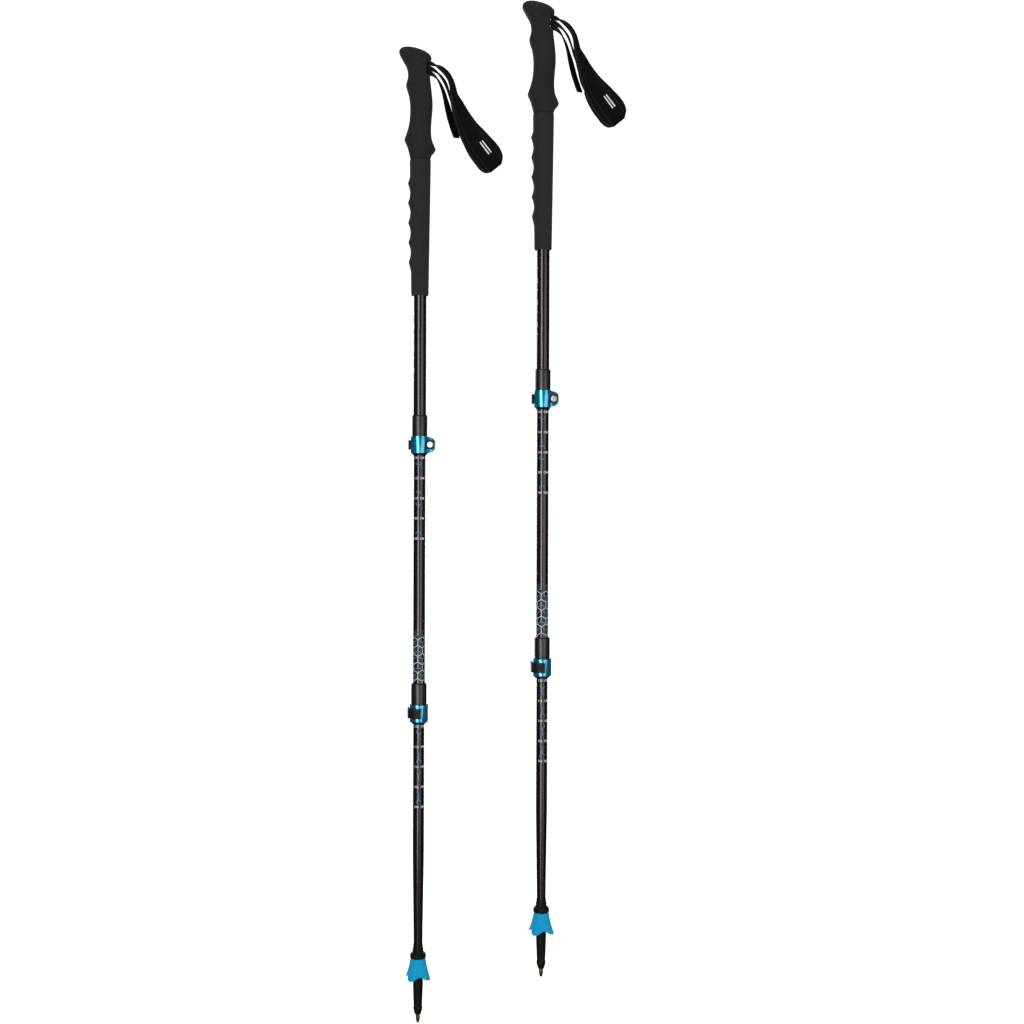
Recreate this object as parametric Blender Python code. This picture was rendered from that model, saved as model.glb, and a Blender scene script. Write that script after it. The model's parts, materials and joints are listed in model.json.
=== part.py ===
"""A pair of three-section telescopic trekking poles with lever locks.

Metres, +Z up. Each pole stands along +Z. The origin is the end of the left
pole's tip; the right pole stands beside it, a little higher. The grips' beaks
point to -X and the wrist straps leave the grips towards +X.
Inside the file lengths are written in millimetres and scaled by MM.
"""

import math

import bmesh
import bpy
from mathutils import Matrix, Vector

MM = 0.001

# ---- driving dimensions, mm, on one pole with its tip end at z = 0 ----
TOTAL_LENGTH = 1200.0          # both sections set to the 120 cm mark
POLE_SPACING = 151.4           # between the two shafts' axes
RIGHT_POLE_RISE = 56.8         # how much higher the right pole is shown

UPPER_TUBE_R, UPPER_BORE_R = 8.05, 7.60
MIDDLE_TUBE_R, MIDDLE_BORE_R = 7.45, 7.05
LOWER_TUBE_R, LOWER_BORE_R = 6.90, 6.30

GRIP_SPLIT_Z = 1061.2          # between the head grip and the long sleeve
SLEEVE_BOTTOM_Z = 893.6
UPPER_TUBE_TOP_Z = 1160.0
UPPER_LOCK_Z = 710.2           # mid height of the upper clamp band
LOWER_LOCK_Z = 380.3           # mid height of the lower clamp band
LOWER_LOCK_TURN = math.radians(90)   # the lower lock is turned on the shaft
MIDDLE_TUBE_TOP_Z = 852.0
LOWER_TUBE_TOP_Z = 558.0

# lock, relative to its mid height and to the shaft's axis
COLLAR_R = 9.6
COLLAR_BELOW, COLLAR_ABOVE = 12.9, 36.7
TUBE_END_ABOVE = 12.6          # where the outer tube ends inside the collar
BAND_IN_R, BAND_OUT_R, BAND_HALF_H = 9.9, 11.6, 10.3
EAR_REACH, EAR_REAR_Y, EAR_FRONT_Y, SLIT = 5.9, 4.9, -6.4, 0.9
EAR_OUTLINE = [(1.0, 3.0), (0.93, 5.0), (0.72, 6.9), (0.36, 8.3), (-0.1, 9.2)]    # share of its reach past the screw, half height
PIVOT = (13.6, 9.6)            # lever's pivot, parallel to the shaft
BOSS_R, BARREL_R, BARREL_HOLE_R = 4.4, 2.6, 2.8
LEVER_IN_R, LEVER_OUT_R = 10.9, 13.9
LEVER_LOW, LEVER_HIGH = -5.7, 5.8
LEVER_TIP_DEG = 195.0
SCREW_R, SCREW_HEAD_R, RING_R = 1.5, 4.1, 5.8

# strap slot in the head
SLOT_PIVOT = (13.2, 1173.5)    # x, z of the line about which the strap swings
PIN_XZ = (-3.9, 1177.0)

SIDES = 20


# ---------------------------------------------------------------- helpers
def clear_scene():
    for obj in list(bpy.data.objects):
        bpy.data.objects.remove(obj, do_unlink=True)


def material(name, colour, roughness, metallic=0.0):
    mat = bpy.data.materials.new(name)
    mat.use_nodes = True
    shader = mat.node_tree.nodes["Principled BSDF"]
    shader.inputs["Base Color"].default_value = (*colour, 1.0)
    shader.inputs["Roughness"].default_value = roughness
    shader.inputs["Metallic"].default_value = metallic
    return mat


def mesh_from(bm, name):
    bmesh.ops.recalc_face_normals(bm, faces=bm.faces)
    mesh = bpy.data.meshes.new(name)
    bm.to_mesh(mesh)
    bm.free()
    return mesh


def turned(name, profile, sides=SIDES, closed=True, smooth=True):
    """A turned solid: profile is (r, z) in mm. closed joins its last point to its first; an open one starts and ends on the axis."""
    bm = bmesh.new()
    verts = [bm.verts.new((r * MM, 0.0, z * MM)) for r, z in profile]
    edges = [bm.edges.new(pair) for pair in zip(verts, verts[1:])]
    if closed:
        edges.append(bm.edges.new((verts[-1], verts[0])))
    bmesh.ops.spin(bm, geom=verts + edges, cent=(0, 0, 0), axis=(0, 0, 1),
                   angle=2 * math.pi, steps=sides, use_merge=True)
    bmesh.ops.remove_doubles(bm, verts=bm.verts, dist=1e-6)
    return mesh_from(bm, name)


def lofted(name, rings, tip_low=None, tip_high=None):
    """Rings of equal length joined in turn; ends closed by a fan to a tip point, or by one face."""
    bm = bmesh.new()
    rows = [[bm.verts.new(Vector(p) * MM) for p in ring] for ring in rings]
    for a, b in zip(rows, rows[1:]):
        n = len(a)
        for i in range(n):
            bm.faces.new((a[i], a[(i + 1) % n], b[(i + 1) % n], b[i]))
    for row, tip in ((rows[0], tip_low), (rows[-1], tip_high)):
        if tip is None:
            bm.faces.new(row)
            continue
        top = bm.verts.new(Vector(tip) * MM)
        for i in range(len(row)):
            bm.faces.new((row[i], row[(i + 1) % len(row)], top))
    return mesh_from(bm, name)


def prism(name, outline, z_low, z_high):
    """An outline in x, y raised from z_low to z_high."""
    low = [(x, y, z_low) for x, y in outline]
    high = [(x, y, z_high) for x, y in outline]
    return lofted(name, [low, high])


def rod(name, radius, start, end, sides=16):
    """A round bar between two points."""
    a, b = Vector(start), Vector(end)
    turn = (b - a).to_track_quat("Z", "Y").to_matrix()
    ring = [Vector((radius * math.cos(2 * math.pi * i / sides),
                    radius * math.sin(2 * math.pi * i / sides), 0)) for i in range(sides)]
    return lofted(name, [[a + turn @ p for p in ring], [b + turn @ p for p in ring]])


def block(name, low, high):
    (x0, y0, z0), (x1, y1, z1) = low, high
    return prism(name, [(x0, y0), (x1, y0), (x1, y1), (x0, y1)], z0, z1)


def arc(radius, start_deg, end_deg, steps, centre=(0.0, 0.0)):
    return [(centre[0] + radius * math.cos(math.radians(start_deg + (end_deg - start_deg) * i / steps)),
             centre[1] + radius * math.sin(math.radians(start_deg + (end_deg - start_deg) * i / steps)))
            for i in range(steps + 1)]


def carved(mesh, cutters=(), joined=(), bevel=0.0):
    """The mesh with other meshes joined to it and cut from it, and its sharp edges bevelled."""
    work = bpy.data.objects.new("work", mesh)
    bpy.context.scene.collection.objects.link(work)
    others = []
    for operation, meshes in (("UNION", joined), ("DIFFERENCE", cutters)):
        for other_mesh in meshes:
            other = bpy.data.objects.new("cutter", other_mesh)
            other.hide_render = True
            other.display_type = "WIRE"
            bpy.context.scene.collection.objects.link(other)
            others.append(other)
            boolean = work.modifiers.new(operation.title(), "BOOLEAN")
            boolean.operation = operation
            boolean.solver = "EXACT"
            boolean.object = other
    if bevel:
        edge = work.modifiers.new("Bevel", "BEVEL")
        edge.width = bevel * MM
        edge.segments = 1
        edge.limit_method = "ANGLE"
        edge.angle_limit = math.radians(50)
    bpy.context.view_layer.update()
    graph = bpy.context.evaluated_depsgraph_get()
    result = bpy.data.meshes.new_from_object(work.evaluated_get(graph))
    result.name = mesh.name + "_made"
    for obj in [work, *others]:
        bpy.data.objects.remove(obj, do_unlink=True)
    return result


def smooth_path(points, steps):
    """Catmull-Rom curve through points of any dimension, steps spans between each pair."""
    pts = [Vector(p) for p in points]
    pts = [2 * pts[0] - pts[1], *pts, 2 * pts[-1] - pts[-2]]
    out = []
    for i in range(1, len(pts) - 2):
        a, b, c, d = pts[i - 1: i + 3]
        for k in range(steps):
            t = k / steps
            out.append(0.5 * ((2 * b) + (c - a) * t + (2 * a - 5 * b + 4 * c - d) * t * t
                              + (3 * b - a - 3 * c + d) * t * t * t))
    out.append(pts[-2])
    return out


# ---------------------------------------------------------------- grip
# Stations of the head grip: z at x = 0, tilt of the station, front x, back x, half width
HEAD_STATIONS = [
    (1061.5, 0.00, -12.7, 12.3, 12.7),
    (1067.5, 0.00, -13.4, 14.6, 14.2),
    (1073.0, 0.00, -14.9, 18.2, 16.2),
    (1078.0, 0.00, -16.7, 16.4, 16.6),
    (1083.7, 0.00, -19.2, 14.2, 16.2),
    (1091.0, 0.00, -17.0, 12.8, 14.6),
    (1099.0, 0.00, -14.8, 12.6, 13.7),
    (1108.0, 0.00, -12.9, 13.2, 13.8),
    (1120.0, 0.00, -12.1, 14.3, 14.4),
    (1132.0, 0.00, -12.7, 14.3, 14.6),
    (1142.0, 0.00, -14.8, 13.5, 14.3),
    (1150.2, 0.00, -17.8, 12.8, 13.8),
    (1158.0, -0.01, -16.2, 11.9, 13.4),
    (1166.0, -0.04, -15.8, 11.5, 13.3),
    (1173.0, -0.09, -17.6, 11.6, 13.8),
    (1179.6, -0.14, -22.0, 12.0, 14.6),
    (1185.3, -0.20, -26.4, 12.4, 15.2),
    (1189.5, -0.25, -25.4, 13.0, 14.8),
    (1192.4, -0.27, -21.6, 11.6, 12.6),
    (1194.6, -0.28, -15.5, 7.4, 8.4),
]


def grip_ring(z, tilt, front, back, half, sides=14, power=2.25, bump=None):
    ring = []
    mid, reach = (front + back) / 2, (back - front) / 2
    for i in range(sides):
        t = 2 * math.pi * i / sides
        c, s = math.cos(t), math.sin(t)
        x = mid + reach * math.copysign(abs(c) ** (2 / power), c)
        y = half * math.copysign(abs(s) ** (2 / power), s)
        if bump:
            x -= bump * max(0.0, -c) ** 1.5
        ring.append((x, y, z + tilt * x))
    return ring


def head_grip():
    body = lofted("head", [grip_ring(*s) for s in HEAD_STATIONS], tip_high=(-4.8, 0, 1196.9))
    px, pz = SLOT_PIVOT
    cutters = [
        rod("bore", 8.35, (0, 0, 1050), (0, 0, 1163.2), SIDES),
        rod("slot_mouth", 9.5, (px, -10.2, pz), (px, 10.2, pz), 20),
        block("slot", (-8.2, -9.6, 1169.0), (9.0, 9.6, 1181.4)),
        rod("pin_bore", 1.5, (PIN_XZ[0], -30, PIN_XZ[1]), (PIN_XZ[0], 30, PIN_XZ[1]), 10),
    ]
    return carved(body, cutters)


RIDGES = 5
RIDGE_TOP_Z, RIDGE_PITCH, RIDGE_HEIGHT = 1031.9, 24.3, 2.9


def ridge(z):
    """How far the finger ridges stand out of the sleeve's front at this height."""
    u = (RIDGE_TOP_Z - z) / RIDGE_PITCH
    if u < 0:
        return RIDGE_HEIGHT * max(0.0, 1 + u * RIDGE_PITCH / 9.0) ** 1.6
    if u > RIDGES - 1:
        return RIDGE_HEIGHT * max(0.0, 1 - (u - RIDGES + 1) * RIDGE_PITCH / 14.0) ** 1.6
    return RIDGE_HEIGHT * abs(2 * (u % 1.0) - 1) ** 1.8


def sleeve_grip():
    top, low = GRIP_SPLIT_Z - 0.3, SLEEVE_BOTTOM_Z
    levels = [low, low + 1.6, low + 14, low + 27]
    for i in range(RIDGES - 1, -1, -1):
        peak = RIDGE_TOP_Z - i * RIDGE_PITCH
        levels += [peak, peak + 5.0, peak + 12.1, peak + 19.3] if i else [peak, peak + 4.0, peak + 9.0]
    levels += [top - 1.4, top]
    rings = []
    for z in levels:
        f = (z - low) / (top - low)
        inset = 1.2 if z in (low, top) else 0.0
        rings.append(grip_ring(z, 0, -(11.0 + 2.2 * f - inset), 10.5 + 2.4 * f - inset,
                               10.8 + 2.1 * f - inset, power=2.05, bump=ridge(z)))
    return carved(lofted("sleeve", rings), [rod("bore", 8.35, (0, 0, 800), (0, 0, 1200), SIDES)])


# ---------------------------------------------------------------- wrist strap
# Control points: x, y, z, twist in degrees (0: width along Y, 90: width in the X-Z plane), width
PAD_PATH = [
    (41.0, -1.2, 1143.2, 26, 19), (44.6, -2.6, 1132.6, 33, 25), (49.4, -5.0, 1119.2, 41, 29.5),
    (53.4, -6.6, 1109.6, 48, 31), (59.0, -8.4, 1098.2, 58, 32.5), (65.6, -9.2, 1087.2, 71, 34),
    (72.6, -9.2, 1077.4, 82, 34.8), (79.6, -8.6, 1068.6, 90, 35.4), (85.4, -7.4, 1061.2, 90, 34.6),
    (90.0, -4.6, 1055.6, 90, 29.5), (92.6, 0.0, 1052.6, 90, 18), (90.0, 4.6, 1055.6, 90, 29),
    (85.4, 7.4, 1061.2, 90, 33.2), (79.6, 8.6, 1068.6, 90, 33.2), (72.6, 9.2, 1077.4, 90, 32),
    (66.4, 9.4, 1086.0, 88, 29), (61.6, 9.4, 1094.0, 86, 25.5),
]
FRONT_WEB_PATH = [
    (8.6, 0.0, 1180.0, 0, 15), (15.0, 0.0, 1178.9, 6, 15), (22.8, 0.0, 1175.4, 26, 15), (30.6, 0.0, 1168.9, 32, 15),
    (36.4, -0.2, 1160.2, 28, 15), (39.3, -0.6, 1151.6, 25, 16.5), (40.8, -1.1, 1144.4, 26, 18.5),
]
BACK_WEB_PATH = [
    (7.4, 0.0, 1173.6, 0, 15), (14.2, 0.0, 1172.6, 2, 15), (22.4, 0.2, 1167.0, 12, 15), (29.2, 0.6, 1157.8, 14, 15),
    (33.6, 1.4, 1147.0, 8, 15), (38.9, 4.2, 1131.4, 8, 15), (46.2, 8.0, 1117.6, 36, 17), (53.4, 9.4, 1106.4, 70, 20),
    (59.4, 9.4, 1097.8, 86, 22),
]
TAIL_PATH = [
    (8.0, 0.0, 1167.4, 0, 15), (14.0, 0.0, 1166.6, 0, 15), (20.4, 0.0, 1161.0, 8, 15), (25.8, 0.0, 1151.0, 14, 15),
    (29.8, 0.0, 1139.0, 18, 15), (33.8, 0.2, 1123.4, 28, 15), (37.8, 0.4, 1107.8, 30, 15), (44.4, 0.6, 1088.4, 32, 14.6),
]


def ribbon(name, path, thickness, steps=2):
    """A strap of that thickness along path, turned about its own line by the path's twist."""
    rows = smooth_path(path, steps)
    centres = [Vector(r[:3]) for r in rows]
    rings = []
    for i, row in enumerate(rows):
        ahead, behind = centres[min(i + 1, len(rows) - 1)], centres[max(i - 1, 0)]
        along = (ahead - behind).normalized()
        twist = math.radians(row[3])
        # in the X-Z plane, square to the strap's own run there
        square = Vector((-PLANE_TURN[0] * along.z, 0, PLANE_TURN[0] * along.x))
        if name == "pad":
            square = pad_square(i, rows)
        square.normalize()
        across = Vector((0, 1, 0)) * math.cos(twist) + square * math.sin(twist)
        across = (across - along * across.dot(along)).normalized()
        normal = along.cross(across).normalized()
        w, t = across * (row[4] / 2), normal * (thickness / 2)
        c = centres[i]
        rings.append([c - w - t, c + w - t, c + w + t, c - w + t])
    return lofted(name, rings)


PLANE_TURN = (1.0,)


def pad_square(i, rows):
    """The pad folds back on itself, so its in-plane width direction is that of its outward run on both runs."""
    n = len(rows)
    j = min(i, n - 1 - i)
    j = max(1, min(j, n // 2 - 2))
    d = Vector(rows[j + 1][:3]) - Vector(rows[j - 1][:3])
    return Vector((-d.z, 0, d.x))


def strap_wedge():
    x, z = PIN_XZ
    body = block("wedge", (-7.7, -8.9, 1169.4), (2.6, 8.9, 1181.0))
    return carved(body, [rod("hole", 1.5, (x, -30, z), (x, 30, z), 12)])


# ---------------------------------------------------------------- lock
def collar(outer_tube_r, inner_bore_r):
    """The slotted plastic sleeve on the outer tube's end that the band squeezes. z is from the lock's mid height."""
    lo, hi, step = -COLLAR_BELOW, COLLAR_ABOVE, TUBE_END_ABOVE - 0.3
    profile = [(inner_bore_r, lo), (8.4, lo), (COLLAR_R, lo + 2.0), (COLLAR_R, hi - 1.6),
               (8.9, hi), (outer_tube_r + 0.2, hi), (outer_tube_r + 0.2, step), (inner_bore_r, step)]
    body = turned("collar", profile)
    return carved(body, [block("slit", (5, -0.75, lo - 5), (15, 0.75, 9.5))])


def band():
    """The squeezed metal band: a split ring with two rounded ears, a recess for the lever and a seat for the screw's ring."""
    h, steps, px = BAND_HALF_H, 20, PIVOT[0]
    a_rear = math.degrees(math.asin(EAR_REAR_Y / BAND_OUT_R))
    a_front = 360 + math.degrees(math.asin(EAR_FRONT_Y / BAND_OUT_R))
    tab = [(px + EAR_REACH * f, e) for f, e in EAR_OUTLINE]
    outer = [(x, EAR_REAR_Y) for x, e in tab] + arc(BAND_OUT_R, a_rear, a_front, steps)
    outer += [(x, EAR_FRONT_Y) for x, e in reversed(tab)]
    inner = [(x, SLIT) for x, e in tab] + arc(BAND_IN_R, 5.3, 354.7, steps) + [(x, -SLIT) for x, e in reversed(tab)]
    tall = [e for x, e in tab] + [h] * (len(outer) - 2 * len(tab)) + [e for x, e in reversed(tab)]
    rings = []
    for (ox, oy), (ix, iy), e in zip(outer, inner, tall):
        rings.append([(ox, oy, -e), (ox, oy, e), (ix, iy, e), (ix, iy, -e)])
    body = lofted("band", rings)
    recess = arc(16.5, 24, 203, 10) + list(reversed(arc(10.6, 24, 203, 10)))
    cutters = [
        prism("recess", recess, LEVER_LOW - 0.5, LEVER_HIGH + 0.5),
        rod("seat", 6.2, (px, EAR_FRONT_Y - 0.05, 0), (px, -16, 0), 16),
        rod("screw_way", 1.85, (px, -12, 0), (px, 8, 0), 10),
    ]
    return carved(body, cutters)


def lever():
    """Cam boss round the barrel, and an arm that lies round the band. z is from the lock's mid height."""
    px, py = PIVOT
    arm = prism("arm", arc(LEVER_OUT_R, 44, LEVER_TIP_DEG, 10) + list(reversed(arc(LEVER_IN_R, 44, LEVER_TIP_DEG, 10))),
                LEVER_LOW, LEVER_HIGH)
    boss = prism("boss", arc(BOSS_R, 0, 340, 17, PIVOT), LEVER_LOW, LEVER_HIGH)
    sector = [PIVOT] + arc(7.5, 230, 440, 7, PIVOT)
    cutters = [
        rod("barrel_bore", BARREL_HOLE_R, (px, py, -20), (px, py, 20), 12),
        prism("screw_groove", sector, -2.2, 2.2),
    ]
    return carved(arm, cutters, [boss])


def barrel():
    px, py = PIVOT
    body = rod("barrel", BARREL_R, (px, py, LEVER_LOW + 0.3), (px, py, LEVER_HIGH - 0.3), 12)
    return carved(body, [rod("thread", 1.7, (px, -5, 0), (px, 30, 0), 10)])


def screw_profile():
    return [(0, 8.9), (1.4, 8.9), (1.4, 9.7), (SCREW_HEAD_R - 0.4, 9.7), (SCREW_HEAD_R, 9.2),
            (SCREW_HEAD_R, 8.3), (SCREW_R, 8.3), (SCREW_R, -11.4), (0, -11.4)]


def aim_front(mesh):
    """From the turning axis to the screw's line: its head faces -Y."""
    mesh.transform(Matrix.Translation((PIVOT[0] * MM, 0, 0)) @ Matrix.Rotation(math.radians(90), 4, "X"))
    return mesh


def tension_screw():
    return aim_front(turned("screw", screw_profile(), 12, closed=False))


def screw_ring():
    profile = [(1.9, 6.7), (RING_R, 6.7), (RING_R, 9.6), (5.3, 10.0), (4.5, 10.0), (4.5, 8.0), (1.9, 8.0)]
    return aim_front(turned("ring", profile, 16))


# ---------------------------------------------------------------- tip
def ferrule():
    """The moulded end: a socket for the tube above a web, a flange for the basket, a nose round the hard tip."""
    outside = [(2.45, 10.3), (3.7, 10.3), (5.3, 15.8), (5.6, 18.6), (5.2, 20.0), (6.15, 47.0), (6.2, 79.5),
               (9.4, 79.5), (9.8, 81.0), (9.4, 85.0), (6.5, 86.7), (6.3, 91.8), (5.9, 92.2), (5.9, 96.0)]
    inside = [(5.6, 96.0), (5.6, 66.5), (0, 66.5)]
    return turned("ferrule", [(0, 24.5), (2.45, 24.5)] + outside + inside, 16, closed=False)


def hard_tip():
    return turned("tip", [(0, 0), (1.5, 0), (2.6, 4.6), (2.6, 10.0), (2.2, 10.0), (2.2, 24.0), (0, 24.0)],
                  12, closed=False)


LOBES, LOBE_TURN = 4, math.radians(-31)   # the first lobe points to the right and forward


def basket():
    """A small skirted basket: a cone with four lobes at its rim and a hub that fits the ferrule."""
    sides = 24

    def ring(radius, z, lobe, drop):
        out = []
        for i in range(sides):
            t = 2 * math.pi * i / sides
            m = 0.5 + 0.5 * math.cos(LOBES * (t - LOBE_TURN))
            r = radius + lobe * (m ** 0.8 - 0.5)
            out.append((r * math.cos(t), r * math.sin(t), z - drop * m))
        return out

    rings = [ring(6.6, 70.5, 0, 0), ring(6.6, 79.2, 0, 0), ring(9.3, 79.2, 0, 0), ring(11.0, 71.0, 0.6, 0),
             ring(14.7, 58.3, 4.6, 4.2), ring(13.3, 58.1, 4.4, 3.9), ring(9.5, 70.0, 0.5, 0)]
    bm = bmesh.new()
    rows = [[bm.verts.new(Vector(p) * MM) for p in r] for r in rings]
    for a, b in zip(rows, rows[1:] + rows[:1]):
        for i in range(sides):
            bm.faces.new((a[i], a[(i + 1) % sides], b[(i + 1) % sides], b[i]))
    return mesh_from(bm, "basket")


# ---------------------------------------------------------------- assembly
def build():
    clear_scene()
    foam = material("eva_foam", (0.022, 0.020, 0.020), 0.92)
    web = material("webbing", (0.015, 0.015, 0.017), 0.85)
    pad = material("strap_pad", (0.013, 0.013, 0.015), 0.80)
    shaft = material("anodised_black", (0.030, 0.026, 0.027), 0.32, 0.9)
    plastic = material("black_plastic", (0.028, 0.027, 0.028), 0.45)
    lever_black = material("lever_plastic", (0.035, 0.030, 0.030), 0.40)
    blue = material("anodised_blue", (0.010, 0.290, 0.520), 0.25, 0.9)
    teal = material("basket_blue", (0.010, 0.350, 0.610), 0.45)
    steel = material("steel", (0.62, 0.62, 0.62), 0.25, 1.0)
    bronze = material("tip_alloy", (0.30, 0.17, 0.10), 0.35, 1.0)

    lock_turn = {"upper": Matrix.Identity(4), "lower": Matrix.Rotation(LOWER_LOCK_TURN, 4, "Z")}
    lock_z = {"upper": UPPER_LOCK_Z, "lower": LOWER_LOCK_Z}
    band_mesh, lever_mesh, barrel_mesh = band(), lever(), barrel()
    screw_mesh, ring_mesh = tension_screw(), screw_ring()
    collars = {"upper": collar(UPPER_TUBE_R, MIDDLE_TUBE_R + 0.2), "lower": collar(MIDDLE_TUBE_R, LOWER_TUBE_R + 0.2)}

    def tube(name, r, bore, low, high):
        return turned(name, [(bore, low), (r, low), (r, high), (bore, high)])

    px, pz = SLOT_PIVOT
    # name, mesh, material, point its origin sits at (mm), rotation and height for the lock's pieces
    pieces = [
        ("grip_head", head_grip(), foam, (0, 0, GRIP_SPLIT_Z), None),
        ("grip_sleeve", sleeve_grip(), foam, (0, 0, SLEEVE_BOTTOM_Z), None),
        ("strap_pin", rod("pin", 1.25, (PIN_XZ[0], -12.9, PIN_XZ[1]), (PIN_XZ[0], 12.9, PIN_XZ[1]), 12), plastic,
         (PIN_XZ[0], 0, PIN_XZ[1]), None),
        ("strap_wedge", strap_wedge(), plastic, (PIN_XZ[0], 0, PIN_XZ[1]), None),
        ("strap_pad", ribbon("pad", PAD_PATH, 3.0), pad, (px, 0, pz), None),
        ("strap_front_web", ribbon("front_web", FRONT_WEB_PATH, 2.2), web, (px, 0, pz), None),
        ("strap_back_web", ribbon("back_web", BACK_WEB_PATH, 2.0), web, (px, 0, pz), None),
        ("strap_tail", ribbon("tail", TAIL_PATH, 2.0), web, (px, 0, pz), None),
        ("upper_tube", tube("upper_tube", UPPER_TUBE_R, UPPER_BORE_R, UPPER_LOCK_Z + TUBE_END_ABOVE, UPPER_TUBE_TOP_Z),
         shaft, (0, 0, UPPER_LOCK_Z), None),
        ("head_plug", turned("head_plug", [(0, 1140), (7.3, 1140), (7.3, UPPER_TUBE_TOP_Z + 0.3),
                                           (8.05, UPPER_TUBE_TOP_Z + 0.3), (8.05, 1162.5), (0, 1162.5)], SIDES, False),
         plastic, (0, 0, UPPER_TUBE_TOP_Z), None),
        ("middle_tube", tube("middle_tube", MIDDLE_TUBE_R, MIDDLE_BORE_R, LOWER_LOCK_Z + TUBE_END_ABOVE,
                             MIDDLE_TUBE_TOP_Z), shaft, (0, 0, LOWER_LOCK_Z), None),
        ("middle_end_plug", end_plug(MIDDLE_TUBE_TOP_Z, 6.85, 7.40), plastic, (0, 0, MIDDLE_TUBE_TOP_Z), None),
        ("lower_tube", turned("lower_tube", [
            (4.75, 67.0), (5.4, 67.0), (5.4, 96.4), (5.62, 118.0), (6.3, 165.0), (6.75, 195.0), (LOWER_TUBE_R, 225.0),
            (LOWER_TUBE_R, LOWER_TUBE_TOP_Z), (LOWER_BORE_R, LOWER_TUBE_TOP_Z), (LOWER_BORE_R, 225.0), (4.75, 96.4)]),
         shaft, (0, 0, 67.0), None),
        ("lower_end_plug", end_plug(LOWER_TUBE_TOP_Z, 6.10, 6.85), plastic, (0, 0, LOWER_TUBE_TOP_Z), None),
        ("tip_ferrule", ferrule(), plastic, (0, 0, 66.5), None),
        ("hard_tip", hard_tip(), bronze, (0, 0, 0), None),
        ("trail_basket", basket(), teal, (0, 0, 79.2), None),
    ]
    for lock in ("upper", "lower"):
        pieces += [
            (f"{lock}_collar", collars[lock], plastic, (0, 0, 0), lock),
            (f"{lock}_band", band_mesh, blue, (0, 0, 0), lock),
            (f"{lock}_lever", lever_mesh, lever_black, (PIVOT[0], PIVOT[1], 0), lock),
            (f"{lock}_barrel_nut", barrel_mesh, steel, (PIVOT[0], PIVOT[1], 0), lock),
            (f"{lock}_tension_screw", screw_mesh, steel, (PIVOT[0], 0, 0), lock),
            (f"{lock}_screw_ring", ring_mesh, plastic, (PIVOT[0], 0, 0), lock),
        ]

    for side, x, z in (("left", 0.0, 0.0), ("right", POLE_SPACING, RIGHT_POLE_RISE)):
        pole = bpy.data.objects.new(f"{side}_pole", None)
        pole.location = (x * MM, 0, z * MM)
        bpy.context.scene.collection.objects.link(pole)
        for name, made, mat, origin, lock in pieces:
            mesh = made.copy()
            mesh.name = f"{side}_{name}"
            mesh.transform(Matrix.Translation(-Vector(origin) * MM))
            mesh.materials.clear()
            mesh.materials.append(mat)
            mesh.shade_smooth()
            mesh.set_sharp_from_angle(angle=math.radians(35))
            obj = bpy.data.objects.new(f"{side}_{name}", mesh)
            place = Matrix.Translation(Vector(origin) * MM)
            if lock:
                place = Matrix.Translation((0, 0, lock_z[lock] * MM)) @ lock_turn[lock] @ place
            obj.matrix_local = place
            obj.parent = pole
            bpy.context.scene.collection.objects.link(obj)
    bpy.context.view_layer.update()


def end_plug(top, stub_r, head_r):
    """A plastic stop in the inner tube's top end; its head guides the tube in the one outside it."""
    return turned("end_plug", [(0, top - 18), (stub_r, top - 18), (stub_r, top + 0.3), (head_r, top + 0.3),
                               (head_r, top + 4.0), (0, top + 4.0)], SIDES, False)


build()
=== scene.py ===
import json
import math

import bmesh
import bpy
from mathutils import Matrix, Vector


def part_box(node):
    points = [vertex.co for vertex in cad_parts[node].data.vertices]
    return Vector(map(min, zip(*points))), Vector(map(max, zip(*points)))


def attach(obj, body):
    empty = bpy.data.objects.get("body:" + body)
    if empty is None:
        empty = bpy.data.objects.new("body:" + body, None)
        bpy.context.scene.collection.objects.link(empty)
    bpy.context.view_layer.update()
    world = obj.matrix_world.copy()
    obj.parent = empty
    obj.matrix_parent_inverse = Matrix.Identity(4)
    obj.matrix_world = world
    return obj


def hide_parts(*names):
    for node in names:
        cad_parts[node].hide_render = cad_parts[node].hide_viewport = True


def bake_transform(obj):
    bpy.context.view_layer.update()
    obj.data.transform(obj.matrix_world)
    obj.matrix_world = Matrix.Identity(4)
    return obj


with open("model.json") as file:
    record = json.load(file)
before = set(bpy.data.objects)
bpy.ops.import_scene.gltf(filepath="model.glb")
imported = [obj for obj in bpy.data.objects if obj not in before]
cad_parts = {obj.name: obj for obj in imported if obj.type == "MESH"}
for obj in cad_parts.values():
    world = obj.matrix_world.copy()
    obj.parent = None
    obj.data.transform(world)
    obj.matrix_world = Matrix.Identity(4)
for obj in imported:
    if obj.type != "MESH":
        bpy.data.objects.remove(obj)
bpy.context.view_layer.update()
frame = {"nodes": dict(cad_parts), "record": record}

MM = 0.001
NODES = frame["nodes"]
SCENE = bpy.context.scene

# The two poles' shafts, from the frame: each hard tip's box is centred on its shaft's axis and starts at its end
POLES = {}
for side in ("left", "right"):
    lo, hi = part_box(f"{side}_hard_tip")
    POLES[side] = Vector(((lo[0] + hi[0]) / 2, (lo[1] + hi[1]) / 2, lo[2]))


def lock_height(side, lock):
    lo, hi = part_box(f"{side}_{lock}_band")
    return (lo[2] + hi[2]) / 2 - POLES[side].z


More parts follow.
